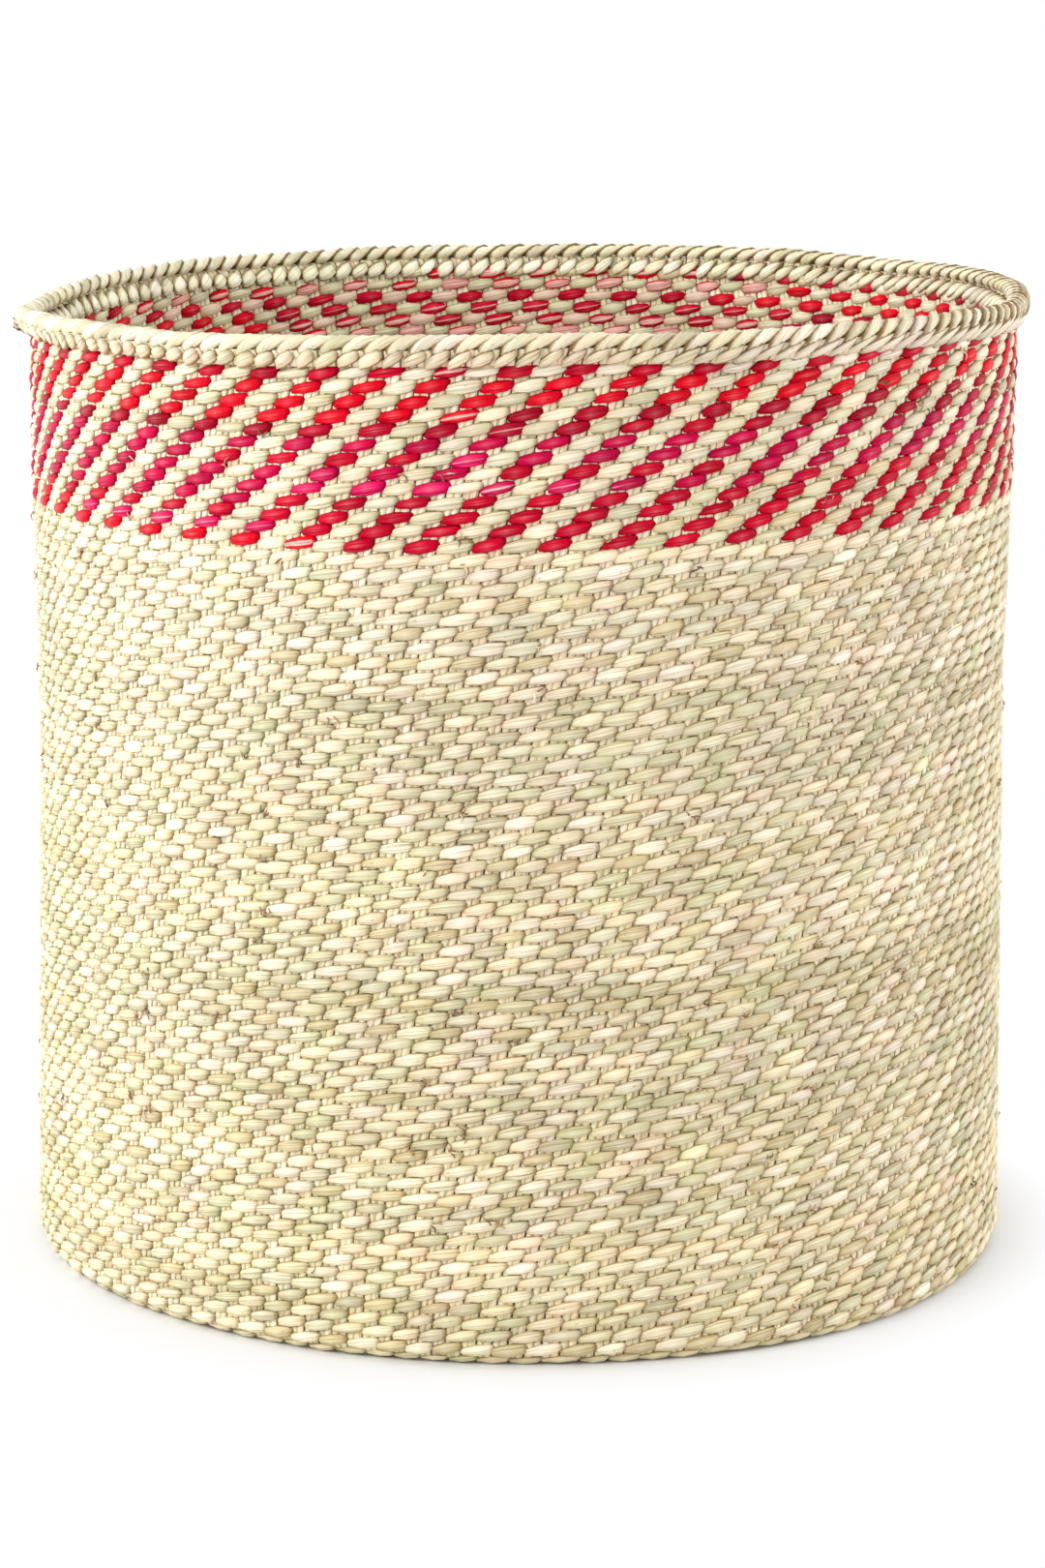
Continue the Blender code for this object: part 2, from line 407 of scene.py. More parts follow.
@dataclass(frozen=True)
class Settling:
    """How the finished basket has settled out of true: a few slow waves that every piece shares.

    A bump is its middle round the basket, its width, both in radians, and its size. A wave is its count round
    the basket, its size, its phase, and its pitch up the wall in radians for each metre.
    """

    height: float = 316.7 * MM
    top_share: float = 1.2
    tilt_growth: int = 3
    droop_growth: int = 8
    side_drop: float = -0.6 * MM
    tilt: float = 2.0 * MM
    droops: tuple[tuple[float, float, float], ...] = (
        (3.02, 0.30, 3.8 * MM),
        (2.4, 0.36, -1.3 * MM),
        (-0.2, 0.36, 1.5 * MM),
    )
    flare_heights: tuple[float, ...] = (200 * MM, 235 * MM, 262 * MM, 300 * MM, 309 * MM, 314 * MM)
    flares: tuple[float, ...] = (0.0, 0.45, 0.75, 1.0, 0.7, 0.1)
    flare: float = 2.7 * MM
    flare_change: float = 0.7 * MM
    foot_swells: tuple[tuple[float, float, float], ...] = (
        (math.pi, 1.1, 2.4 * MM),
        (-0.85, 0.5, 3.6 * MM),
        (-1.5, 0.5, -3.2 * MM),
        (-2.2, 0.4, -2.2 * MM),
    )
    foot_reach: float = 150.0 * MM
    foot_inside: float = 120.0 * MM
    foot_blend: float = 40.0 * MM
    wave_inside: float = 100.0 * MM
    wave_blend: float = 60.0 * MM
    crowding_inside: float = 140.0 * MM
    crowding_blend: float = 15.0 * MM
    crowding_top: float = 270.0 * MM
    crowding_fade: float = 60.0 * MM
    least_crowding: float = 0.15
    wall_waves: tuple[tuple[int, float, float, float], ...] = (
        (2, 0.45 * MM, 0.6, 9.0),
        (3, 0.40 * MM, 2.1, 14.0),
        (5, 0.30 * MM, 4.0, 22.0),
        (9, 0.16 * MM, 1.2, 31.0),
    )
    row_waves: tuple[tuple[int, float, float, float], ...] = (
        (4, 0.30 * MM, 0.9, 17.0),
        (7, 0.28 * MM, 3.3, 26.0),
        (13, 0.16 * MM, 5.1, 45.0),
        (29, 0.06 * MM, 2.2, 70.0),
    )
    crowding_waves: tuple[tuple[int, float, float, float], ...] = (
        (6, 0.9 * MM, 0.4, 30.0),
        (11, 0.7 * MM, 2.6, -44.0),
        (17, 0.5 * MM, 5.5, 62.0),
        (31, 0.3 * MM, 1.1, -90.0),
    )

    def apply(self, mesh: bpy.types.Mesh) -> None:
        """Move a mesh's points with the waves."""
        points = np.empty(3 * len(mesh.vertices))
        mesh.vertices.foreach_get("co", points)
        x, y, z = points.reshape(-1, 3).T
        angle = np.arctan2(y, x)
        radius = np.hypot(x, y)
        sideways = np.cos(angle)
        share = np.clip(z / self.height, 0.0, self.top_share)
        standing = self._grown(radius, self.wave_inside, self.wave_blend) * share
        out = self._sum(self.wall_waves, angle, z) * standing
        up = self._sum(self.row_waves, angle, z) * standing
        up += (self.side_drop * np.cos(2.0 * angle) + self.tilt * sideways) * share**self.tilt_growth
        up -= self._bumps(self.droops, angle) * share**self.droop_growth
        flared = np.interp(z, self.flare_heights, self.flares) * (self.flare + self.flare_change * sideways)
        out += flared * sideways**2
        low = np.clip(1.0 - z / self.foot_reach, 0.0, 1.0)
        low = low * self._grown(radius, self.foot_inside, self.foot_blend)
        out += self._bumps(self.foot_swells, angle) * low
        fading = np.clip((self.crowding_top - z) / self.crowding_fade, self.least_crowding, 1.0)
        aside = self._sum(self.crowding_waves, angle, z) * fading
        aside = aside * self._grown(radius, self.crowding_inside, self.crowding_blend)
        moved_x = x + out * np.cos(angle) - aside * np.sin(angle)
        moved_y = y + out * np.sin(angle) + aside * np.cos(angle)
        settled = np.stack((moved_x, moved_y, np.maximum(z + up, 0.0)), axis=1)
        mesh.vertices.foreach_set("co", settled.ravel())
        mesh.update()

    @staticmethod
    def _grown(radius: np.ndarray, inside: float, blend: float) -> np.ndarray:
        """Return 0 up to a radius inside, and 1 from a blend's width further out."""
        return np.clip((radius - inside) / blend, 0.0, 1.0)

    @staticmethod
    def _bumps(bumps: Sequence[tuple[float, float, float]], angle: np.ndarray) -> np.ndarray:
        """Add up bumps round the basket."""
        asides = [(np.mod(angle - middle + math.pi, TURN) - math.pi) / width for middle, width, _ in bumps]
        return sum(size * np.exp(-(aside**2)) for aside, (_, _, size) in zip(asides, bumps))

    @staticmethod
    def _sum(
        waves: Sequence[tuple[int, float, float, float]], angle: np.ndarray, z: np.ndarray
    ) -> np.ndarray:
        """Add up waves round the basket and up its wall."""
        return sum(size * np.cos(count * angle + phase + pitch * z) for count, size, phase, pitch in waves)


class Reed(Enum):
    """The tones that reeds come in, natural and dyed, and the browns of their painted shade."""

    SAGE = linear(224, 217, 177)
    GREY_SAGE = linear(219, 210, 171)
    LIGHT_SAGE = linear(236, 229, 196)
    STRAW = linear(244, 231, 195)
    CREAM = linear(252, 242, 215)
    PEACH = linear(250, 233, 196)
    KHAKI = linear(222, 206, 161)
    BLUSH = linear(236, 206, 180)
    RED = linear(224, 6, 34)
    CRIMSON = linear(202, 6, 44)
    DARK_CRIMSON = linear(176, 5, 40)
    MAGENTA = linear(198, 4, 68)
    PINK = linear(224, 40, 98)
    PITH = linear(244, 200, 186)
    # Browns multiplied in for painted shade at reed ends and rims, together with the reeds' own marks;
    # SHADED_DYE is the same for dyed reeds.
    SHADE_AND_AGE = linear(130, 101, 56)
    WORN_AND_SHADED = linear(122, 96, 60)
    FRAYED = linear(140, 104, 68)
    DRY = linear(186, 156, 112)
    BROWN = linear(104, 72, 46)
    SHADED_DYE = linear(150, 84, 110)


@dataclass(frozen=True)
class NaturalReeds:
    """Natural reeds spliced one after another along a strand."""

    seed: int
    shortest: float = 40.0
    longest: float = 130.0
    tones: tuple[Reed, ...] = (
        Reed.SAGE,
        Reed.GREY_SAGE,
        Reed.LIGHT_SAGE,
        Reed.STRAW,
        Reed.CREAM,
        Reed.PEACH,
        Reed.KHAKI,
    )
    shares: tuple[float, ...] = (0.19, 0.08, 0.23, 0.18, 0.14, 0.12, 0.06)
    darkest: float = 0.94
    lightest: float = 1.05

    def colours(self, stakes: np.ndarray) -> np.ndarray:
        """Give the colour at places that are counted in stakes along the strand."""
        random = np.random.default_rng(self.seed)
        count = int(stakes.max() / self.shortest) + 3
        ends = np.cumsum(random.uniform(self.shortest, self.longest, count)) - self.shortest
        picked = random.choice(len(self.tones), count, p=self.shares)
        palette = np.array([tone.value[:3] for tone in self.tones])
        reeds = palette[picked] * random.uniform(self.darkest, self.lightest, (count, 1))
        return reeds[np.searchsorted(ends, stakes).clip(0, count - 1)]

    def pick(self, numbers: np.ndarray, spread: float) -> np.ndarray:
        """Give each numbered reed a tone of its own."""
        random = np.random.default_rng(self.seed)
        count = int(numbers.max()) + 1
        palette = np.array([tone.value[:3] for tone in self.tones])
        reeds = palette[random.choice(len(self.tones), count, p=self.shares)]
        return (reeds * random.normal(1.0, spread, (count, 1)))[numbers]


@dataclass(frozen=True)
class Stretch:
    """One reed in the band, from a share of its row's turn onwards. A turn starts at the back.

    Its streak is the share of its width that the dye hasn't reached.
    """

    row: int
    start: float
    tone: Reed
    streak: float = 0.0


@dataclass(frozen=True)
class BandReeds:
    """Chosen reeds along the band's one spiral, row by row from the top row, 1, to the lowest, 13."""

    first_stake: float
    stakes_per_turn: float
    stretches: tuple[Stretch, ...]
    rows: int = 13

    def colours(self, stakes: np.ndarray) -> np.ndarray:
        """Give the colour at places that are counted in stakes along the strand."""
        return np.array([stretch.tone.value[:3] for stretch in self.stretches])[self._at(stakes)]

    def streaks(self, stakes: np.ndarray) -> np.ndarray:
        """Give the undyed share of the reed's width at those places."""
        return np.array([stretch.streak for stretch in self.stretches])[self._at(stakes)]

    def _at(self, stakes: np.ndarray) -> np.ndarray:
        """Find which stretch each place lies in."""
        starts = np.array([self.rows - stretch.row + stretch.start for stretch in self.stretches])
        order = np.argsort(starts)
        turns = (stakes - self.first_stake) / self.stakes_per_turn
        return order[(np.searchsorted(starts[order], turns, side="right") - 1).clip(0, len(order) - 1)]


DYED_STRETCHES = (
    Stretch(13, 0.0, Reed.RED),
    Stretch(13, 0.386, Reed.RED, 0.35),
    Stretch(13, 0.40, Reed.CRIMSON),
    Stretch(12, 0.0, Reed.RED),
    Stretch(12, 0.30, Reed.PINK, 0.12),
    Stretch(12, 0.386, Reed.CRIMSON),
    Stretch(11, 0.64, Reed.CRIMSON),
    Stretch(10, 0.08, Reed.MAGENTA),
    Stretch(10, 0.376, Reed.CRIMSON),
    Stretch(9, 0.06, Reed.MAGENTA),
    Stretch(9, 0.384, Reed.PINK),
    Stretch(9, 0.45, Reed.PINK, 0.24),
    Stretch(9, 0.492, Reed.MAGENTA),
    Stretch(9, 0.55, Reed.CRIMSON),
    Stretch(8, 0.0, Reed.MAGENTA),
    Stretch(8, 0.391, Reed.PINK, 0.14),
    Stretch(8, 0.405, Reed.MAGENTA),
    Stretch(8, 0.453, Reed.CRIMSON),
    Stretch(8, 0.535, Reed.MAGENTA),
    Stretch(7, 0.36, Reed.CRIMSON),
    Stretch(7, 0.441, Reed.PINK, 0.16),
    Stretch(7, 0.454, Reed.MAGENTA),
    Stretch(7, 0.90, Reed.CRIMSON),
    Stretch(6, 0.10, Reed.MAGENTA),
    Stretch(6, 0.86, Reed.RED, 0.95),
    Stretch(5, 0.10, Reed.DARK_CRIMSON),
    Stretch(5, 0.45, Reed.DARK_CRIMSON, 0.10),
    Stretch(5, 0.465, Reed.DARK_CRIMSON),
    Stretch(5, 0.49, Reed.CRIMSON),
    Stretch(5, 0.53, Reed.DARK_CRIMSON),
    Stretch(5, 0.86, Reed.CRIMSON, 0.35),
    Stretch(4, 0.05, Reed.RED),
    Stretch(4, 0.435, Reed.RED, 0.3),
    Stretch(4, 0.452, Reed.DARK_CRIMSON),
    Stretch(4, 0.84, Reed.CRIMSON, 0.16),
    Stretch(3, 0.06, Reed.RED),
    Stretch(3, 0.88, Reed.CRIMSON),
    Stretch(2, 0.12, Reed.RED),
    Stretch(2, 0.86, Reed.RED, 0.65),
    Stretch(1, 0.12, Reed.CRIMSON),
    Stretch(1, 0.427, Reed.CRIMSON, 0.5),
    Stretch(1, 0.444, Reed.CRIMSON),
    Stretch(1, 0.88, Reed.RED, 0.4),
)

PLAIN_STRETCHES = (
    Stretch(13, 0.0, Reed.LIGHT_SAGE),
    Stretch(13, 0.44, Reed.SAGE),
    Stretch(12, 0.20, Reed.STRAW),
    Stretch(12, 0.50, Reed.KHAKI),
    Stretch(11, 0.15, Reed.LIGHT_SAGE),
    Stretch(11, 0.38, Reed.SAGE),
    Stretch(10, 0.10, Reed.LIGHT_SAGE),
    Stretch(10, 0.50, Reed.SAGE),
    Stretch(9, 0.12, Reed.STRAW),
    Stretch(9, 0.53, Reed.KHAKI),
    Stretch(8, 0.10, Reed.LIGHT_SAGE),
    Stretch(8, 0.36, Reed.STRAW),
    Stretch(8, 0.88, Reed.BLUSH),
    Stretch(7, 0.10, Reed.LIGHT_SAGE),
    Stretch(7, 0.88, Reed.BLUSH),
    Stretch(6, 0.14, Reed.LIGHT_SAGE),
    Stretch(6, 0.86, Reed.SAGE),
    Stretch(5, 0.12, Reed.GREY_SAGE),
    Stretch(5, 0.86, Reed.BLUSH),
    Stretch(4, 0.10, Reed.STRAW),
    Stretch(4, 0.86, Reed.SAGE),
    Stretch(3, 0.12, Reed.SAGE),
    Stretch(3, 0.86, Reed.BLUSH),
    Stretch(2, 0.12, Reed.LIGHT_SAGE),
    Stretch(2, 0.84, Reed.SAGE),
    Stretch(1, 0.12, Reed.STRAW),
    Stretch(1, 0.40, Reed.CREAM),
    Stretch(1, 0.84, Reed.KHAKI),
)


@dataclass(frozen=True)
class WeatheringAndSideShade:
    """Slow changes of tone over the whole wall: batches of reed up its height, patches in them, and a painted
    shade tint on one side.
    """

    seed: int = 12
    waves: int = 14
    lightness: float = 0.035
    greenness: float = 0.014
    heights: tuple[float, ...] = (32 * MM, 59 * MM, 103 * MM, 147 * MM, 189 * MM, 230 * MM, 250 * MM)
    batch_light: tuple[float, ...] = (0.97, 0.98, 0.89, 1.0, 0.93, 0.97, 1.0)
    batch_blue: tuple[float, ...] = (0.93, 0.95, 0.94, 0.965, 0.985, 1.01, 1.0)
    # Painted shade: a warmer, slightly darker tint on the front-right side, which the lamps light least.
    shade_tint_side: float = -0.85
    shade_tint: float = 0.02
    shade_tint_red: float = 0.6
    shade_tint_blue: float = 0.3
    green_lift: float = 0.3
    green_blue: float = 1.5
    most_waves: int = 40
    steepest: float = 230.0

    def tints(self, points: np.ndarray) -> np.ndarray:
        """Give each point a factor for red, green and blue."""
        angle = np.arctan2(points[:, 1], points[:, 0])
        light = self._patches(angle, points[:, 2], 0) * self.lightness
        green = self._patches(angle, points[:, 2], 1) * self.greenness
        batch = np.interp(points[:, 2], self.heights, self.batch_light)
        blueness = np.interp(points[:, 2], self.heights, self.batch_blue) - self.green_blue * green
        side_shade_tint = self.shade_tint * np.cos(angle - self.shade_tint_side)
        reds = 1.0 + light - green + self.shade_tint_red * side_shade_tint
        greens = 1.0 + light + self.green_lift * green - side_shade_tint
        blues = blueness + light - self.shade_tint_blue * side_shade_tint
        return np.stack((reds, greens, blues), axis=1) * batch[:, None]

    def _patches(self, angle: np.ndarray, height: np.ndarray, layer: int) -> np.ndarray:
        """Add up random waves round and up the wall, to a spread of about 1."""
        random = np.random.default_rng(self.seed + layer)
        counts = random.integers(-self.most_waves, self.most_waves + 1, self.waves)
        pitches = random.uniform(-self.steepest, self.steepest, self.waves)
        phases = random.uniform(0.0, TURN, self.waves)
        total = sum(np.cos(c * angle + p * height + f) for c, p, f in zip(counts, pitches, phases))
        return total * math.sqrt(2.0 / self.waves)


def read_points(mesh: bpy.types.Mesh, name: str) -> np.ndarray:
    """Read a number that a tree stored on a mesh's points."""
    numbers = np.empty(len(mesh.vertices))
    mesh.attributes[name].data.foreach_get("value", numbers)
    return numbers


def paint(mesh: bpy.types.Mesh, colours: np.ndarray) -> None:
    """Write a colour for every point of a mesh, weathered and with the painted side shade tint."""
    points = np.empty(3 * len(mesh.vertices))
    mesh.vertices.foreach_get("co", points)
    painted = np.ones((len(colours), 4))
    painted[:, :3] = np.clip(colours * WeatheringAndSideShade().tints(points.reshape(-1, 3)), 0.0, 1.0)
    tone = mesh.color_attributes.new("tone", "FLOAT_COLOR", "POINT")
    tone.data.foreach_set("color", painted.ravel())


def paint_strand(
    mesh: bpy.types.Mesh, supply: Union[NaturalReeds, BandReeds], spread: float, seed: int
) -> None:
    """Colour a twined strand from the stakes that its points have passed.

    Args:
        mesh: A mesh with the point attribute "stakes".
        supply: The reeds along the strand.
        spread: How far one stitch may differ from the next.
        seed: A fixed seed.
    """
    stakes = read_points(mesh, "stakes")
    stitches = np.floor(stakes / STITCH_STAKES + COUNT_NUDGE).astype(int)
    stitches -= stitches.min()
    random = np.random.default_rng(seed)
    lightness = random.normal(1.0, spread, stitches.max() + 1)[stitches]
    paint(mesh, supply.colours(stakes) * lightness[:, None])
    if isinstance(supply, BandReeds):
        changes = random.uniform(*STREAK_CHANGES, stitches.max() + 1)[stitches]
        streak = mesh.attributes.new("streak", "FLOAT", "POINT")
        streak.data.foreach_set("value", supply.streaks(stakes) * changes)


def paint_reeds(mesh: bpy.types.Mesh, supply: NaturalReeds, spread: float) -> None:
    """Colour separate reeds, each from its own number.

    Args:
        mesh: A mesh with the point attribute "number".
        supply: The tones to pick from.
        spread: How far one reed may differ from the next of its tone.
    """
    numbers = read_points(mesh, "number").round().astype(int)
    paint(mesh, supply.pick(numbers, spread))


@dataclass(frozen=True)
class ReedFinish:
    """A reed's surface: its own tone with fibres along it, with painted shade and a painted highlight.

    The fibres follow the point attribute "fibre", which is the place along, across and through the reed.
    A noise's scale is given for those three in the same order. Lines, creases and specks are where a noise
    falls below a level, each with how sharply it does.
    """

    MIDDLE = 0.5
    FINE_SHARE = 0.6
    STRIPS = (0.6, 0.45, 400.0)
    BLOTCHES = (160.0, 260.0, 260.0)
    SLOW_CHANGES = (14.0, 40.0, 40.0)
    DOTS = (1100.0, 1300.0, 1300.0)
    LINES = (0.44, 14.0)
    CREASES = (0.37, 16.0)
    SPECKS = (0.19, 25.0)
    RIM_SHADE_CURVE = 1.5
    END_SHADE_CURVE = 1.7
    MOST_SHADE_AND_MARKS = 0.92
    SHADE_AND_MARKS_SATURATION = 0.25
    GLINT_NARROWING = 0.45
    GLINT_CURVE = 5.0
    ROUGHNESS_GRAIN = 0.2
    LEAST_ROUGHNESS = 0.2
    RELIEF = 0.25 * MM
    STREAK_BASE = 0.6
    STREAK_SHARPNESS = 5.0
    MOST_BARE = 0.85

    name: str
    slot: str
    fibre_depth: float = 0.10
    line_depth: float = 0.42
    crease_depth: float = 0.18
    blotch_depth: float = 0.07
    length_depth: float = 0.12
    # Painted shade: how dark a stitch grows towards its ends, where it dips behind its stakes, and along its
    # rims, where its neighbours cover it.
    end_shade_depth: float = 0.9
    rim_shade_start: float = 0.72
    rim_shade_depth: float = 0.68
    speck_depth: float = 0.4
    # Strength of the painted highlight on each stitch's crown.
    painted_glint: float = 0.22
    # The brown multiplied in for the painted shade and for the reed's own lines, creases and specks.
    edge: Reed = Reed.SHADE_AND_AGE
    roughness: float = 0.5
    specular: float = 0.5
    fibres_across: float = 3000.0
    fibres_along: float = 55.0
    bump: float = 0.5
    reed_half_width: float = 2.12 * MM

    def material(self) -> bpy.types.Material:
        """Build the material."""
        made = bpy.data.materials.new(self.name)
        made.use_nodes = True
        made.node_tree.nodes.clear()
        graph = Graph(made.node_tree)
        fibre = graph.stored("fibre").output("Vector")
        swell = graph.stored("swell").output("Fac")
        aside = graph.node("ShaderNodeSeparateXYZ", None, {"Vector": fibre}).output("Y").math("ABSOLUTE")
        aside = aside / self.reed_half_width
        fine = self._noise(graph, fibre, (self.fibres_along, self.fibres_across, self.fibres_across), 2.0)
        along, across, through = self.STRIPS
        strip_scale = (along * self.fibres_along, across * self.fibres_across, through)
        strips = self._noise(graph, fibre, strip_scale, 1.0)
        blotches = self._noise(graph, fibre, self.BLOTCHES, 2.0)
        slow = self._noise(graph, fibre, self.SLOW_CHANGES, 1.0)
        dots = self._noise(graph, fibre, self.DOTS, 0.0)
        grain = fine * self.FINE_SHARE + strips * (1.0 - self.FINE_SHARE) - self.MIDDLE
        lines = self._dips(fine, self.LINES) * self.line_depth
        marks = lines + self._dips(strips, self.CREASES) * self.crease_depth
        marks = marks + self._dips(dots, self.SPECKS) * self.speck_depth
        light = 1.0 + grain * (2.0 * self.fibre_depth) + (blotches - self.MIDDLE) * (2.0 * self.blotch_depth)
        light = light + (slow - self.MIDDLE) * (2.0 * self.length_depth)
        # Painted shade along the rims and towards the ends, plus the reed's own lines, creases and specks.
        rim = ((aside - self.rim_shade_start) / (1.0 - self.rim_shade_start)).clamped() ** self.RIM_SHADE_CURVE * self.rim_shade_depth
        shade_and_marks = (1.0 - swell) ** self.END_SHADE_CURVE * self.end_shade_depth + rim + marks
        shade_and_marks = shade_and_marks.clamped(0.0, self.MOST_SHADE_AND_MARKS)
        # Painted highlight: the middle of each stitch's crown is mixed towards white.
        facing = swell * (1.0 - aside * self.GLINT_NARROWING).clamped()
        glint = facing**self.GLINT_CURVE * (strips * 2.0) * self.painted_glint
        dyed = self._streaked(graph, aside, blotches)
        with_painted_glint = graph.mix("MIX", glint, dyed, WHITE)
        shaded_and_marked = graph.mix("MULTIPLY", shade_and_marks, with_painted_glint, self.edge.value)
        shades = {"Saturation": 1.0 + shade_and_marks * self.SHADE_AND_MARKS_SATURATION, "Value": light, "Fac": 1.0, "Color": shaded_and_marked}
        relief = {"Strength": self.bump, "Distance": self.RELIEF, "Height": grain - lines}
        roughness = self.roughness - grain * self.ROUGHNESS_GRAIN
        surface = {
            "Base Color": graph.node("ShaderNodeHueSaturation", None, shades),
            "Roughness": roughness.clamped(self.LEAST_ROUGHNESS, 1.0),
            "Specular IOR Level": self.specular,
            "Normal": graph.node("ShaderNodeBump", None, relief),
        }
        shader = graph.node("ShaderNodeBsdfPrincipled", None, surface)
        graph.node("ShaderNodeOutputMaterial", None, {"Surface": shader})
        return made

    def _streaked(self, graph: Graph, aside: Value, blotches: Value) -> Value:
        """Return the reed's tone, left pale in the middle by as much as the attribute "streak" says."""
        tone = graph.stored("tone").output("Color")
        bare = graph.stored("streak").output("Fac") * (blotches + self.STREAK_BASE) - aside
        share = (bare * self.STREAK_SHARPNESS).clamped(0.0, self.MOST_BARE)
        return graph.mix("MIX", share, tone, Reed.PITH.value)

    @staticmethod
    def _dips(noise: Value, shape: tuple[float, float]) -> Value:
        """Return 1 where a noise falls well below a level, and 0 above it."""
        level, sharpness = shape
        return ((level - noise) * sharpness).clamped()

    @staticmethod
    def _noise(graph: Graph, place: Value, scale: tuple[float, float, float], detail: float) -> Value:
        """Return noise stretched along the fibres."""
        stretched = graph.node("ShaderNodeVectorMath", {"operation": "MULTIPLY"}, {0: place, 1: scale})
        return graph.node("ShaderNodeTexNoise", None, {"Vector": stretched, "Scale": 1.0, "Detail": detail})


@dataclass(frozen=True)
class Strand:
    """Sizes of one running reed as it passes over two stakes and goes between them to the other face."""

    half_width: float = 2.1 * MM
    half_thickness: float = 1.1 * MM
    stand_off: float = 2.4 * MM
    row_rise: float = 0.92 * MM
    overlap: float = 0.40
    width_spread: float = 0.13
    row_spread: float = 0.30 * MM
    lean_spread: float = 0.22
    lift_spread: float = 0.12
    inner_share: float = 1.0

    def sizes(self) -> dict[str, float]:
        """Return the sizes as the tree's inputs name them."""
        return {
            "Half width": self.half_width,
            "Half thickness": self.half_thickness,
            "Stand off": self.stand_off,
            "Row rise": self.row_rise,
            "Overlap": self.overlap,
            "Width spread": self.width_spread,
            "Row spread": self.row_spread,
            "Lean spread": self.lean_spread,
            "Lift spread": self.lift_spread,
            "Inner share": self.inner_share,
        }


@dataclass(frozen=True)
class Run:
    """One run of twining: how many passes each strand makes, and the path that they follow."""

    first_pass: int
    passes: int
    stakes_per_turn: float
    start: float
    rise_per_turn: float
    start_angle: float = BACK

    def sizes(self, strand: int) -> dict[str, float]:
        """Return the path as the tree's inputs name it, for strand 0 or 1."""
        return {
            "First pass": self.first_pass + strand,
            "Passes": self.passes,
            "Stakes per turn": self.stakes_per_turn,
            "First stake": STITCH_STAKES * self.first_pass,
            "Start": self.start,
            "Rise per turn": self.rise_per_turn,
            "Start angle": self.start_angle,
        }


class TwineTree(Growth):
    """Grows one of the two strands of a run of twining.

    In each pass the strand leaves the gap between two stakes as a thin tip low in the row, lies flat over two
    stakes as it rises, and turns on edge into the next gap at the top of the row. The next pass is the same
    on the other face.
    """

    SIDES = 7
    RINGS = 6
    RING_NUDGE = 1e-4
    CROWDING = 0.72
    TIP_REACH = 0.25
    TAIL_REACH = 0.06
    END_SHARPNESS = 4.0
    LEAST_PROUD = 1e-5
    NARROWING = 0.88
    TAIL_FULLNESS = 0.2
    BLUNTNESS = 0.76
    THIN_SHARE = 0.4
    STRAIGHT_SHARE = 0.4
    OVERLAP_SPREAD = 0.4
    STAKE_SPACING = 4.9 * MM

    def __init__(self, line: Silhouette) -> None:
        """Build the tree along the basket's line."""
        path = ("Stakes per turn", "First stake", "Start", "Rise per turn", "Start angle")
        super().__init__("twined_strand", ("Passes", "First pass", "Seed"), path + tuple(Strand().sizes()))
        index = self.node("GeometryNodeInputIndex")
        ring = (index / float(self.SIDES)).floor()
        corner = index - ring * float(self.SIDES)
        passed = (ring / float(self.RINGS) + self.RING_NUDGE).floor()
        share = ring / float(self.RINGS) - passed
        along = STITCH_STAKES * (share - (share * TURN).sine() * (self.CROWDING / TURN))
        number = passed + self.size("First pass")
        side = 1.0 - 2.0 * (number % 2.0)
        swing = (along - 1.0) * QUARTER
        over = swing.cosine().most(0.0)
        rising = swing.sine()
        ending = (over * rising * self.END_SHARPNESS).clamped(-1.0, 1.0) * 0.5 + 0.5
        reach = ending * (self.TAIL_REACH - self.TIP_REACH) + self.TIP_REACH
        proud = over * (reach + 1.0) / (over + reach + self.LEAST_PROUD)
        flat = (proud * QUARTER).sine()
        edge = (proud * QUARTER).cosine() * rising.sign()
        lens = (swing * self.NARROWING).cosine() ** self.BLUNTNESS
        lens = lens * (1.0 + (along - 1.0) * self.TAIL_FULLNESS)
        stretch = 1.0 + self.chance(-1.0, 1.0, number, 1) * self.size("Width spread")
        width = self.size("Half width") * lens * stretch
        thickness = self.size("Half thickness") * (over * (1.0 - self.THIN_SHARE) + self.THIN_SHARE)
        turn = QUARTER - corner * (TURN / self.SIDES)
        across = width * turn.cosine()
        through = thickness * turn.sine()
        drift = self.chance(-1.0, 1.0, number, 2) * self.size("Row spread") * proud
        tilt = self.chance(-1.0, 1.0, number, 3) * self.size("Lean spread") * proud + 1.0
        climb = ((along - 1.0) * self.STRAIGHT_SHARE + rising * (1.0 - self.STRAIGHT_SHARE)) * tilt
        lift = self.chance(-1.0, 1.0, number, 4) * self.size("Lift spread") * over + 1.0
        inner = (side > 0.0) * (1.0 - self.size("Inner share")) + self.size("Inner share")
        depth = side * (self.size("Stand off") * proud * lift * inner - across * edge + through * flat)
        shift = side * (self.size("Row rise") * climb + across * flat + through * edge) + drift
        stakes = passed * STITCH_STAKES + along
        turns = stakes / self.size("Stakes per turn")
        distance = self.size("Start") + self.size("Rise per turn") * turns + shift
        spread = self.chance(-self.OVERLAP_SPREAD, self.OVERLAP_SPREAD, number, 5)
        reached = self.size("Overlap") * (1.0 + spread)
        pushed = rising * proud * reached / self.size("Stakes per turn")
        angle = self.size("Start angle") + (turns + pushed) * TURN
        counted = stakes + self.size("First stake")
        flat_width = turn.cosine() * self.size("Half width")
        fibre = self.vector(counted * self.STAKE_SPACING, flat_width, turn.sine() * self.size("Half width"))
        tube = self.tube(self.SIDES, self.size("Passes") * float(self.RINGS))
        place = line.place(self, distance, depth, angle)
        # swell, how far the stitch lies over its stakes, places the painted end shade and the painted
        # highlight.
        self.close(tube, place, {"stakes": counted, "swell": over}, fibre)


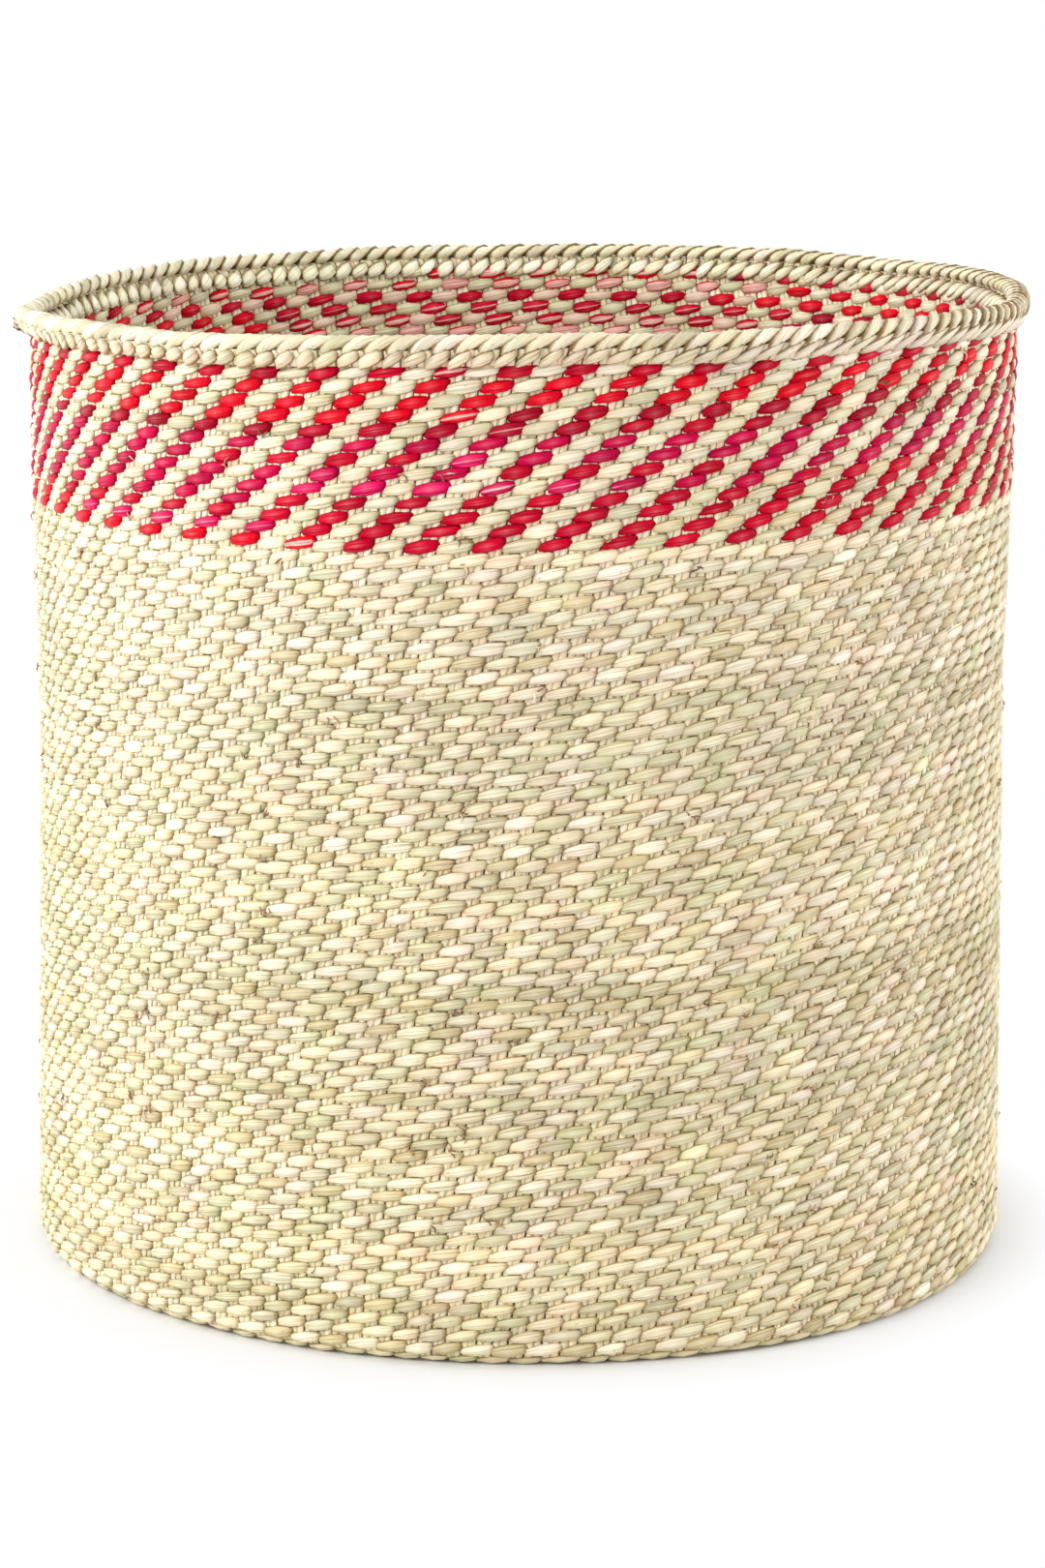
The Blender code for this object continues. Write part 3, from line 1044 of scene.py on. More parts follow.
class BundleTree(Growth):
    """A tree that grows many tubes at once, each with the same rings and corners."""

    SIDES = 6
    TUBE_NUDGE = 1e-5
    RING_NUDGE = 1e-4

    def tubes(self, count: Value, segments: Value) -> tuple[Value, Value, Value, Value]:
        """Add the tubes.

        Args:
            count: How many.
            segments: Segments along each one.

        Returns:
            The tubes, and for each of their points the tube's number, the share of its length and its corner.
        """
        places = self.node("GeometryNodeMeshLine", None, {"Count": count})
        copies = {"Points": places, "Instance": self.tube(self.SIDES, segments)}
        placed = self.node("GeometryNodeInstanceOnPoints", None, copies)
        real = self.node("GeometryNodeRealizeInstances", None, {"Geometry": placed})
        index = self.node("GeometryNodeInputIndex")
        each = (segments + 1.0) * float(self.SIDES)
        number = (index / each + self.TUBE_NUDGE).floor()
        rest = index - number * each
        ring = (rest / float(self.SIDES) + self.RING_NUDGE).floor()
        return real, number, ring / segments, rest - ring * float(self.SIDES)


class StakeTree(BundleTree):
    """Grows a ring of flat reeds that lie in the reedwork as its stakes, close together in pairs."""

    SHOULDER_RISE = 2.04
    SHOULDER_FALL = 1.04
    SIZE_SPREAD = (-0.12, 0.08)
    FIBRE_STEP = 37.0 * MM
    SHEEN = 0.8

    def __init__(self, line: Silhouette) -> None:
        """Build the tree along the basket's line."""
        path = ("Start", "End", "Start angle", "Pairing", "Proud")
        section = ("Half width", "Half thickness", "Room share")
        super().__init__("flat_stakes", ("Stakes", "Segments", "Seed"), path + section)
        real, number, share, corner = self.tubes(self.size("Stakes"), self.size("Segments"))
        distance = self.size("Start") + (self.size("End") - self.size("Start")) * share
        room = distance.least(line.bend_start) * HALF / self.size("Stakes")
        wanted = self.size("Half width") * (1.0 + self.chance(*self.SIZE_SPREAD, number, 1))
        width = wanted.least(room * self.size("Room share"))
        turn = corner * (TURN / self.SIDES) + QUARTER
        high = turn.sine()
        across = width * turn.cosine()
        shoulders = high * (self.SHOULDER_RISE - self.SHOULDER_FALL * high * high)
        thick = self.size("Half thickness") * shoulders
        through = thick * (1.0 + self.chance(*self.SIZE_SPREAD, number, 2))
        angle = self.size("Start angle") + (number + 0.5) * TURN / self.size("Stakes")
        paired = self.size("Pairing") * (1.0 - 2.0 * (number % 2.0))
        place = line.place(self, distance, through + self.size("Proud"), angle, across + paired)
        fibre = self.vector(distance + number * self.FIBRE_STEP, across, through)
        self.close(real, place, {"number": number, "swell": self.SHEEN}, fibre)


class RopeTree(BundleTree):
    """Grows the rope of folded stake ends that runs once round the rim."""

    SIDES = 7
    FRONT_SHARE = 0.74
    SHEEN = 0.85
    STRAND_STEP = 100.0
    PROUD_SPREAD = (-0.12, 0.12)
    BREADTH_SPREAD = (-0.1, 0.1)
    TUCK = 0.42
    TUCK_SHARES = (0.7, 0.3)
    BULGE = 0.30
    BULGE_ROLL = 0.7
    ARCH_ROLL = 1.3

    def __init__(self, line: Silhouette) -> None:
        """Build the tree round the rim."""
        ring = ("Radius", "Height", "Half width", "Half height")
        reed = ("Reed half width", "Reed half thickness", "Arch")
        super().__init__("rim_rope", ("Strands", "Segments", "Bumps", "Seed"), ring + reed)
        real, number, share, corner = self.tubes(self.size("Strands"), self.size("Segments"))
        winds = self.size("Bumps") / self.size("Strands") * share + number / self.size("Strands")
        roll = winds * TURN
        wrap = (winds + 0.5).floor() + number * self.STRAND_STEP
        proud = 1.0 + self.chance(*self.PROUD_SPREAD, wrap, 1)
        broad = self.size("Reed half width") * (1.0 + self.chance(*self.BREADTH_SPREAD, wrap, 2))
        turn = QUARTER - corner * (TURN / self.SIDES)
        outward = roll.cosine()
        upward = roll.sine()
        across = broad * turn.cosine() * (upward * upward * (1.0 - self.FRONT_SHARE) + self.FRONT_SHARE)
        full = (roll - self.BULGE_ROLL).cosine() * self.BULGE + 1.0
        tuck = across * (outward * self.TUCK_SHARES[0] + self.TUCK_SHARES[1]).most(0.0) * self.TUCK
        through = self.size("Reed half thickness") * turn.sine() * proud * full + tuck
        round_roll = (self.size("Half width") + self.size("Half height")) * HALF
        wound = round_roll * self.size("Bumps") / self.size("Strands")
        lay = (wound / (self.size("Radius") * TURN)).math("ARCTANGENT")
        over = across * lay.cosine()
        wide = self.size("Half width") - self.size("Reed half thickness") + through
        high = self.size("Half height") - self.size("Reed half thickness") + through
        radius = self.size("Radius") + wide * outward - over * upward
        height = self.size("Height") + high * upward + over * outward
        arched = (roll - self.ARCH_ROLL).sine() * self.size("Arch")
        heading = BACK + share * TURN + (arched - across * lay.sine()) / self.size("Radius")
        place = self.vector(radius * heading.cosine(), radius * heading.sine(), height)
        fibre = self.vector((share + number) * TURN * self.size("Radius"), across, through)
        self.close(real, place, {"number": wrap, "swell": self.SHEEN}, fibre)


class PatchTree(BundleTree):
    """Grows the plain-woven crossing of flat reeds in the middle of the base."""

    SHEEN = 0.8
    LEAST_SQUARE = 1e-6
    FIBRE_STEP = 100.0 * MM

    def __init__(self) -> None:
        """Build the tree on the base."""
        lengths = ("Reach", "Pitch", "Height", "Half width", "Half thickness", "Wave")
        super().__init__("base_patch", ("Lanes", "Segments"), lengths)
        real, number, share, corner = self.tubes(self.size("Lanes") * 2.0, self.size("Segments"))
        crosswise = number % 2.0
        lane = (number * 0.5 + COUNT_NUDGE).floor() - (self.size("Lanes") - 1.0) * 0.5
        aside = lane * self.size("Pitch")
        reach = (self.size("Reach") ** 2.0 - aside * aside).most(self.LEAST_SQUARE).math("SQRT")
        along = reach * (share * 2.0 - 1.0)
        phase = (along / self.size("Pitch") + lane) * HALF
        wave = self.size("Wave") * phase.cosine() * (1.0 - 2.0 * crosswise)
        turn = corner * (TURN / self.SIDES) + QUARTER
        across = self.size("Half width") * turn.cosine()
        through = self.size("Half thickness") * turn.sine()
        height = self.size("Height") + wave + through
        shift = aside + across
        x = along + (shift - along) * crosswise
        y = shift + (-along - shift) * crosswise
        fibre = self.vector(along + number * self.FIBRE_STEP, across, through)
        self.close(real, self.vector(x, y, height), {"number": number, "swell": self.SHEEN}, fibre)


class FrayTree(BundleTree):
    """Grows short frayed ends that curl out between the stitches, a few at each splice."""

    SIDES = 4
    PER_SPLICE = 3
    TAPER = 0.6
    RISE_SPREAD = 0.003
    ASIDE_SPREAD = 1.6 * MM
    FIRST_BENDS = (-0.5, 1.1)
    CURLS = (-1.6, 1.6)
    LENGTHS = (0.4, 1.0)
    LIFTS = (0.2, 1.0)
    ARC = 0.4 * TURN
    DARKENING = 0.3
    FIBRE_STEP = 100.0 * MM

    def __init__(self, line: Silhouette) -> None:
        """Build the tree on the wall."""
        area = ("Start", "End", "First angle", "Last angle")
        lengths = ("Half thickness", "Length", "Depth", "Lift")
        super().__init__("frayed_ends", ("Frays", "Segments", "Seed"), area + lengths)
        real, number, share, corner = self.tubes(self.size("Frays"), self.size("Segments"))
        splice = (number / float(self.PER_SPLICE) + COUNT_NUDGE).floor()
        angle = self.size("First angle")
        angle = angle + (self.size("Last angle") - angle) * self.chance(0.0, 1.0, splice, 1)
        spread = self.chance(0.0, 1.0, splice, 2) + self.chance(-1.0, 1.0, number, 3) * self.RISE_SPREAD
        distance = self.size("Start") + (self.size("End") - self.size("Start")) * spread
        bend = self.chance(*self.FIRST_BENDS, number, 4) + self.chance(*self.CURLS, number, 5) * share
        passed = self.size("Length") * share * self.chance(*self.LENGTHS, number, 6)
        turn = corner * (-TURN / self.SIDES)
        radius = self.size("Half thickness") * (1.0 - share * self.TAPER)
        aside = radius * turn.cosine()
        shift = self.chance(-1.0, 1.0, number, 7) * self.ASIDE_SPREAD
        along = passed * bend.cosine() - aside * bend.sine() + shift
        up = passed * bend.sine() + aside * bend.cosine()
        lift = self.size("Lift") * self.chance(*self.LIFTS, number, 8) * (share * self.ARC).sine()
        depth = self.size("Depth") + lift + radius * turn.sine()
        place = line.place(self, distance + up, depth, angle, along)
        fibre = self.vector(passed + number * self.FIBRE_STEP, aside, turn.sine() * radius)
        self.close(real, place, {"number": number, "swell": 1.0 - share * self.DARKENING}, fibre)


@dataclass
class Workshop:
    """What every sub-assembly shares: the basket's line, its settling, the trees and the finishes."""

    SEED_RANGE = 997
    SEED_STEP = 1000

    line: Silhouette = field(default_factory=Silhouette)
    settling: Settling = field(default_factory=Settling)

    def __post_init__(self) -> None:
        """Build the trees and keep a place for the finishes."""
        self.twine = TwineTree(self.line)
        self.stakes = StakeTree(self.line)
        self.rope = RopeTree(self.line)
        self.patch = PatchTree()
        self.frays = FrayTree(self.line)
        self.materials: dict[str, bpy.types.Material] = {}

    def material(self, finish: ReedFinish) -> bpy.types.Material:
        """Return a finish's material, built on its first use."""
        if finish.name not in self.materials:
            self.materials[finish.name] = finish.material()
        return self.materials[finish.name]

    def strand(
        self,
        name: str,
        run: Run,
        strand: int,
        shape: Strand,
        finish: ReedFinish,
        supply: Union[NaturalReeds, BandReeds],
        spread: float = 0.045,
    ) -> bpy.types.Object:
        """Grow and colour one of a run's two strands.

        Args:
            name: The strand's name.
            run: The run that it is part of.
            strand: Which of the run's strands it is, 0 or 1.
            shape: The sizes of its stitches.
            finish: Its surface.
            supply: The reeds that it is spliced from.
            spread: How far one stitch's lightness may differ from the next's.

        Returns:
            The strand, not yet settled.
        """
        seed = run.first_pass % self.SEED_RANGE + self.SEED_STEP * strand
        sizes = {**run.sizes(strand), **shape.sizes(), "Seed": seed}
        piece = self.twine.grow(name, self.material(finish), sizes)
        paint_strand(piece.data, supply, spread, run.first_pass + strand)
        return piece

    @staticmethod
    def join(name: str, parts: Sequence[bpy.types.Object]) -> bpy.types.Object:
        """Join meshes that share a finish into one piece."""
        first = parts[0]
        with bpy.context.temp_override(active_object=first, selected_editable_objects=list(parts)):
            bpy.ops.object.join()
        first.name = name
        first.data.name = name
        return first

    def deliver(self, piece: bpy.types.Object, slot: str, *nodes: str) -> None:
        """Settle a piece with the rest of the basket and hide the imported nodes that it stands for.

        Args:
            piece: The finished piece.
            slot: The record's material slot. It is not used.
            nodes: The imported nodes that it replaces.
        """
        self.settling.apply(piece.data)
        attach(piece, "root")
        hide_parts(*nodes)
        faces = sum(len(face.vertices) - 2 for face in piece.data.polygons)
        log.info("%s: %d triangles", piece.name, faces)


NATURAL = ReedFinish("natural_reed_surface", "natural_reed")
# The rope's dark rims are painted shadow between its lobes.
ROPE = ReedFinish(
    "rim_rope_surface",
    "natural_reed",
    line_depth=0.25,
    crease_depth=0.15,
    painted_glint=0.08,
    rim_shade_start=0.62,
    rim_shade_depth=1.0,
    edge=Reed.WORN_AND_SHADED,
    reed_half_width=2.25 * MM,
)
# The stakes' dark rims are painted shade between neighbouring stakes.
PALE = ReedFinish(
    "pale_stake_surface",
    "pale_reed",
    painted_glint=0.1,
    line_depth=0.3,
    crease_depth=0.1,
    rim_shade_start=0.76,
    rim_shade_depth=1.0,
    fibres_across=1700.0,
    reed_half_width=1.24 * MM,
)
FRAYED = ReedFinish("frayed_end_surface", "natural_reed", painted_glint=0.0, rim_shade_depth=0.0, line_depth=0.2)
# Dyed reeds take their painted shade in a dark dye tone.
DYE = {
    "edge": Reed.SHADED_DYE,
    "fibre_depth": 0.38,
    "line_depth": 0.5,
    "crease_depth": 0.35,
    "end_shade_depth": 0.95,
    "painted_glint": 0.09,
    "roughness": 0.34,
    "specular": 0.07,
    "rim_shade_depth": 0.35,
}
RED = ReedFinish("red_dyed_surface", "red_reed", **DYE)
CRIMSON = ReedFinish("crimson_dyed_surface", "crimson_reed", **DYE)
MAGENTA = ReedFinish("magenta_dyed_surface", "magenta_reed", **DYE)


def spiral(line: Silhouette, stakes: int, first_turn: int, turns: int, anchor: float, pitch: float) -> Run:
    """Lay out a run that starts after whole turns of the wall's spiral, at the nearest pass.

    Args:
        line: The basket's line.
        stakes: Stakes in the wall.
        first_turn: Turns of the spiral before this run.
        turns: Turns in this run.
        anchor: Distance along the line at which the run starts.
        pitch: Height of a row.

    Returns:
        The run.
    """
    first_pass = round(first_turn * stakes / STITCH_STAKES)
    last_pass = round((first_turn + turns) * stakes / STITCH_STAKES)
    turned = STITCH_STAKES * first_pass / stakes
    return Run(
        first_pass=first_pass,
        passes=last_pass - first_pass,
        stakes_per_turn=stakes,
        start=anchor + (turned - first_turn) * pitch,
        rise_per_turn=pitch,
        start_angle=BACK + TURN * (turned - first_turn),
    )


@dataclass
class Wall:
    """The foot, the natural wall and the dyed band, as one spiral of twining over the same stakes."""

    shop: Workshop
    stakes: int = 207
    foot_turns: int = 3
    foot_start: float = 152.2 * MM
    foot_pitch: float = 4.4 * MM
    natural_turns: tuple[int, ...] = (19, 19, 18)
    natural_pitch: float = 4.38 * MM
    dyed_pitch: float = 4.26 * MM
    dyed_lots: tuple[tuple[str, int, ReedFinish], ...] = (
        ("red_lower", 4, RED),
        ("magenta", 4, MAGENTA),
        ("crimson", 2, CRIMSON),
        ("red_upper", 3, RED),
    )
    strand: Strand = field(default_factory=Strand)
    seed: int = 31
    dyed_spread: float = 0.07

    def build(self) -> None:
        """Build both strands of every run."""
        turn, anchor = self._foot()
        turn, anchor = self._natural(turn, anchor)
        self._dyed(turn, anchor)

    def _foot(self) -> tuple[int, float]:
        """Build the rows that turn the base up into the wall."""
        run = spiral(self.shop.line, self.stakes, 0, self.foot_turns, self.foot_start, self.foot_pitch)
        both = []
        for strand, letter in enumerate("ab"):
            supply = NaturalReeds(self.seed + strand)
            both.append(self.shop.strand(f"foot_{letter}", run, strand, self.strand, NATURAL, supply))
        self.shop.deliver(self.shop.join("foot_twine_rows", both), NATURAL.slot, "foot_twine")
        return self.foot_turns, self.foot_start + self.foot_turns * self.foot_pitch

    def _natural(self, turn: int, anchor: float) -> tuple[int, float]:
        """Build the natural runs."""
        for number, turns in enumerate(self.natural_turns, start=1):
            run = spiral(self.shop.line, self.stakes, turn, turns, anchor, self.natural_pitch)
            for strand, letter in enumerate("ab"):
                name = f"natural_weft_{number}"
                supply = NaturalReeds(self.seed + strand)
                piece = self.shop.strand(f"{name}_{letter}", run, strand, self.strand, NATURAL, supply)
                self.shop.deliver(piece, NATURAL.slot, name)
            turn += turns
            anchor += turns * self.natural_pitch
        return turn, anchor

    def _dyed(self, turn: int, anchor: float) -> None:
        """Build the band, in which the first strand is natural and the second is dyed."""
        dyes = BandReeds(float(turn * self.stakes), self.stakes, DYED_STRETCHES)
        plains = BandReeds(float(turn * self.stakes), self.stakes, PLAIN_STRETCHES)
        for name, turns, finish in self.dyed_lots:
            run = spiral(self.shop.line, self.stakes, turn, turns, anchor, self.dyed_pitch)
            node = f"band_weft_{name}"
            dyed = self.shop.strand(f"{node}_dyed", run, 1, self.strand, finish, dyes, self.dyed_spread)
            self.shop.deliver(dyed, finish.slot, node)
            plain = self.shop.strand(f"{node}_natural", run, 0, self.strand, NATURAL, plains)
            self.shop.deliver(plain, NATURAL.slot, node)
            turn += turns
            anchor += turns * self.dyed_pitch


@dataclass
class Base:
    """The base: a woven patch in the middle, then rings of twining over ever more stakes."""

    shop: Workshop
    patch_lanes: int = 7
    patch_reach: float = 18.5 * MM
    patch_pitch: float = 4.7 * MM
    rings: tuple[tuple[str, float, float, int], ...] = (
        ("base_start", 17.0 * MM, 38.1 * MM, 39),
        ("base_weft_1", 38.1 * MM, 66.1 * MM, 71),
        ("base_weft_1", 66.1 * MM, 94.2 * MM, 103),
        ("base_weft_2", 94.2 * MM, 122.3 * MM, 135),
        ("base_weft_2", 122.3 * MM, 152.2 * MM, 171),
    )
    row_height: float = 4.4 * MM
    overlap: float = 3.0 * MM
    strand: Strand = field(default_factory=Strand)
    weft_seed: int = 50
    patch_seed: int = 71
    patch_spread: float = 0.04
    stake_seed: int = 80
    stake_spread: float = 0.05

    def build(self) -> list[bpy.types.Object]:
        """Build the base's wefts, and return its stakes outside the middle."""
        parts: dict[str, list[bpy.types.Object]] = {"base_start": [self._patch()]}
        stakes = []
        for number, (node, start, end, count) in enumerate(self.rings):
            passes = round(count / STITCH_STAKES * (end - start) / self.row_height)
            run = Run(0, passes, count, start, self.row_height)
            for strand in range(2):
                supply = NaturalReeds(self.weft_seed + 2 * number + strand)
                name = f"{node}_{number}_{strand}"
                weft = self.shop.strand(name, run, strand, self.strand, NATURAL, supply)
                parts.setdefault(node, []).append(weft)
            stake_ring = self._stakes(number, start, end, count)
            (parts["base_start"] if node == "base_start" else stakes).append(stake_ring)
        for node, members in parts.items():
            piece = self.shop.join(f"{node}_rows", members)
            self.shop.deliver(piece, PALE.slot if node == "base_start" else NATURAL.slot, node)
        return stakes

    def _patch(self) -> bpy.types.Object:
        """Weave the middle."""
        sizes = {
            "Lanes": self.patch_lanes,
            "Segments": 24,
            "Reach": self.patch_reach,
            "Pitch": self.patch_pitch,
            "Height": 3.6 * MM,
            "Half width": 2.2 * MM,
            "Half thickness": 0.9 * MM,
            "Wave": 0.9 * MM,
        }
        piece = self.shop.patch.grow("base_patch", self.shop.material(PALE), sizes)
        paint_reeds(piece.data, NaturalReeds(self.patch_seed), self.patch_spread)
        return piece

    def _stakes(self, number: int, start: float, end: float, count: int) -> bpy.types.Object:
        """Lay a ring's stakes."""
        sizes = {
            "Stakes": count,
            "Segments": 6,
            "Start": start - self.overlap,
            "End": end + self.overlap,
            "Start angle": BACK,
            "Half width": 2.05 * MM,
            "Half thickness": 1.4 * MM,
            "Room share": 0.84,
            "Pairing": 0.0,
            "Proud": 0.0,
            "Seed": number,
        }
        piece = self.shop.stakes.grow(f"base_stakes_{number}", self.shop.material(PALE), sizes)
        paint_reeds(piece.data, NaturalReeds(self.stake_seed + number), self.stake_spread)
        return piece


@dataclass
class Stakes:
    """The wall's stakes, each of two narrow reeds, from the edge of the base up into the rim."""

    shop: Workshop
    reeds: int = 2 * 207
    start: float = 149.5 * MM
    foot_end: float = 166.0 * MM
    border_start: float = 307.5 * MM
    top: float = 312.6 * MM
    border_proud: float = 1.7 * MM
    foot_segments: int = 8
    upright_segments: int = 24
    border_segments: int = 3
    bundles: int = 23
    seed: int = 90
    spread: float = 0.05
    tones: tuple[Reed, ...] = (Reed.CREAM, Reed.STRAW, Reed.LIGHT_SAGE, Reed.PEACH)
    shares: tuple[float, ...] = (0.35, 0.35, 0.15, 0.15)

    def build(self, base_stakes: Sequence[bpy.types.Object]) -> None:
        """Build the stakes and join the base's to them."""
        border = self.shop.line.distance_at(self.border_start)
        end = self.shop.line.distance_at(self.top)
        foot = self._length("foot_stakes", self.start, self.foot_end, self.foot_segments)
        parts = [
            self._length("upright_stakes", self.foot_end, border, self.upright_segments),
            self._length("border_stakes", border, end, self.border_segments, self.border_proud),
        ]
        nodes = [f"stakes_{number:02d}" for number in range(1, self.bundles + 1)]
        self.shop.deliver(self.shop.join("wall_stakes", parts), PALE.slot, *nodes)
        self.shop.deliver(self.shop.join("base_stakes", [foot, *base_stakes]), PALE.slot, *nodes)

    def _length(
        self, name: str, start: float, end: float, segments: int, proud: float = 0.0
    ) -> bpy.types.Object:
        """Stand one length of all the stakes."""
        sizes = {
            "Stakes": self.reeds,
            "Segments": segments,
            "Start": start,
            "End": end,
            "Start angle": BACK,
            "Half width": 1.36 * MM,
            "Half thickness": 2.3 * MM,
            "Room share": 1.17,
            "Pairing": 0.13 * MM,
            "Proud": proud,
            "Seed": 9,
        }
        piece = self.shop.stakes.grow(name, self.shop.material(PALE), sizes)
        supply = NaturalReeds(self.seed, tones=self.tones, shares=self.shares)
        paint_reeds(piece.data, supply, self.spread)
        return piece


WALL_WEFTS = ("natural_weft_1", "natural_weft_2", "natural_weft_3")
BAND_WEFTS = ("band_weft_red_lower", "band_weft_magenta", "band_weft_crimson")


@dataclass(frozen=True)
class FraySet:
    """One scatter of frayed ends between two heights and two angles, standing up by so much."""

    name: str
    count: int
    heights: tuple[float, float]
    nodes: tuple[str, ...]
    angles: tuple[float, float] = (0.0, TURN)
    lift: float = 1.6 * MM


@dataclass
class Frays:
    """Frayed reed ends on the natural wall, on the band and at one splice of the border."""

    shop: Workshop
    sets: tuple[FraySet, ...] = (
        FraySet("wall_frays", 450, (8 * MM, 250 * MM), WALL_WEFTS),
        FraySet("band_frays", 120, (250 * MM, 306 * MM), BAND_WEFTS),
        FraySet("rim_frays", 54, (307 * MM, 310.5 * MM), ("border_twine",), (2.77, 2.95), 6 * MM),
    )
    tones: tuple[Reed, ...] = (Reed.FRAYED, Reed.DRY, Reed.BROWN, Reed.STRAW)
    shares: tuple[float, ...] = (0.28, 0.34, 0.13, 0.25)
    spread: float = 0.08

    def build(self) -> None:
        """Build every set."""
        for seed, chosen in enumerate(self.sets, start=1):
            sizes = {
                "Frays": chosen.count,
                "Segments": 7,
                "Start": self.shop.line.distance_at(chosen.heights[0]),
                "End": self.shop.line.distance_at(chosen.heights[1]),
                "First angle": chosen.angles[0],
                "Last angle": chosen.angles[1],
                "Half thickness": 0.36 * MM,
                "Length": 3.4 * MM,
                "Depth": 2.6 * MM,
                "Lift": chosen.lift,
                "Seed": seed,
            }
            piece = self.shop.frays.grow(chosen.name, self.shop.material(FRAYED), sizes)
            supply = NaturalReeds(seed, tones=self.tones, shares=self.shares)
            paint_reeds(piece.data, supply, self.spread)
            self.shop.deliver(piece, FRAYED.slot, *chosen.nodes)


@dataclass
class Border:
    """The leaning row of border twine and the rope of folded stake ends, both of the paler reeds."""

    shop: Workshop
    stakes: int = 304
    twine_height: float = 309.6 * MM
    bumps: int = 152
    strands: int = 2
    roll_radius: float = 162.2 * MM
    roll_height: float = 313.9 * MM
    twine: Strand = field(
        default_factory=lambda: Strand(
            half_width=2.45 * MM,
            half_thickness=1.4 * MM,
            stand_off=4.2 * MM,
            row_rise=1.8 * MM,
            inner_share=0.75,
        )
    )
    twine_seed: int = 60
    rope_seed: int = 64
    rope_spread: float = 0.05

    def build(self) -> None:
        """Build both."""
        self._twine()
        self._rope()

    def _twine(self) -> None:
        """Build the row of twine."""
        start = self.shop.line.distance_at(self.twine_height)
        run = Run(0, self.stakes // 2, self.stakes, start, 0.0)
        both = []
        for strand in range(2):
            supply = self._light_reeds(self.twine_seed + strand)
            both.append(self.shop.strand(f"border_{strand}", run, strand, self.twine, NATURAL, supply))
        self.shop.deliver(self.shop.join("border_twine_row", both), NATURAL.slot, "border_twine")

    def _rope(self) -> None:
        """Build the rope."""
        sizes = {
            "Strands": self.strands,
            "Segments": 912,
            "Bumps": self.bumps,
            "Radius": self.roll_radius,
            "Height": self.roll_height,
            "Half width": 3.8 * MM,
            "Half height": 2.9 * MM,
            "Reed half width": 2.8 * MM,
            "Reed half thickness": 1.5 * MM,
            "Arch": 2.0 * MM,
            "Seed": 3,
        }
        rope = self.shop.rope.grow("rim_rope", self.shop.material(ROPE), sizes)
        paint_reeds(rope.data, self._light_reeds(self.rope_seed), self.rope_spread)
        self.shop.deliver(rope, ROPE.slot, "rim_roll")

    @staticmethod
    def _light_reeds(seed: int) -> NaturalReeds:
        """Pick the paler reeds, of which the border is made."""
        tones = (Reed.CREAM, Reed.STRAW, Reed.LIGHT_SAGE, Reed.GREY_SAGE)
        shares = (0.25, 0.3, 0.3, 0.15)
        return NaturalReeds(seed, shortest=30.0, longest=80.0, tones=tones, shares=shares)


@dataclass(frozen=True)
class Lamp:
    """A round soft lamp: its name, its place, its width and its power."""

    name: str
    place: tuple[float, float, float]
    size: float
    power: float

    def hang(self, target: tuple[float, float, float]) -> None:
        """Hang the lamp so that it faces a target."""
        data = bpy.data.lights.new(self.name, "AREA")
        data.shape = "DISK"
        data.size = self.size
        data.energy = self.power
        lamp = bpy.data.objects.new(self.name, data)
        lamp.location = self.place
        lamp.rotation_euler = (Vector(target) - lamp.location).to_track_quat("-Z", "Y").to_euler()
        bpy.context.scene.collection.objects.link(lamp)


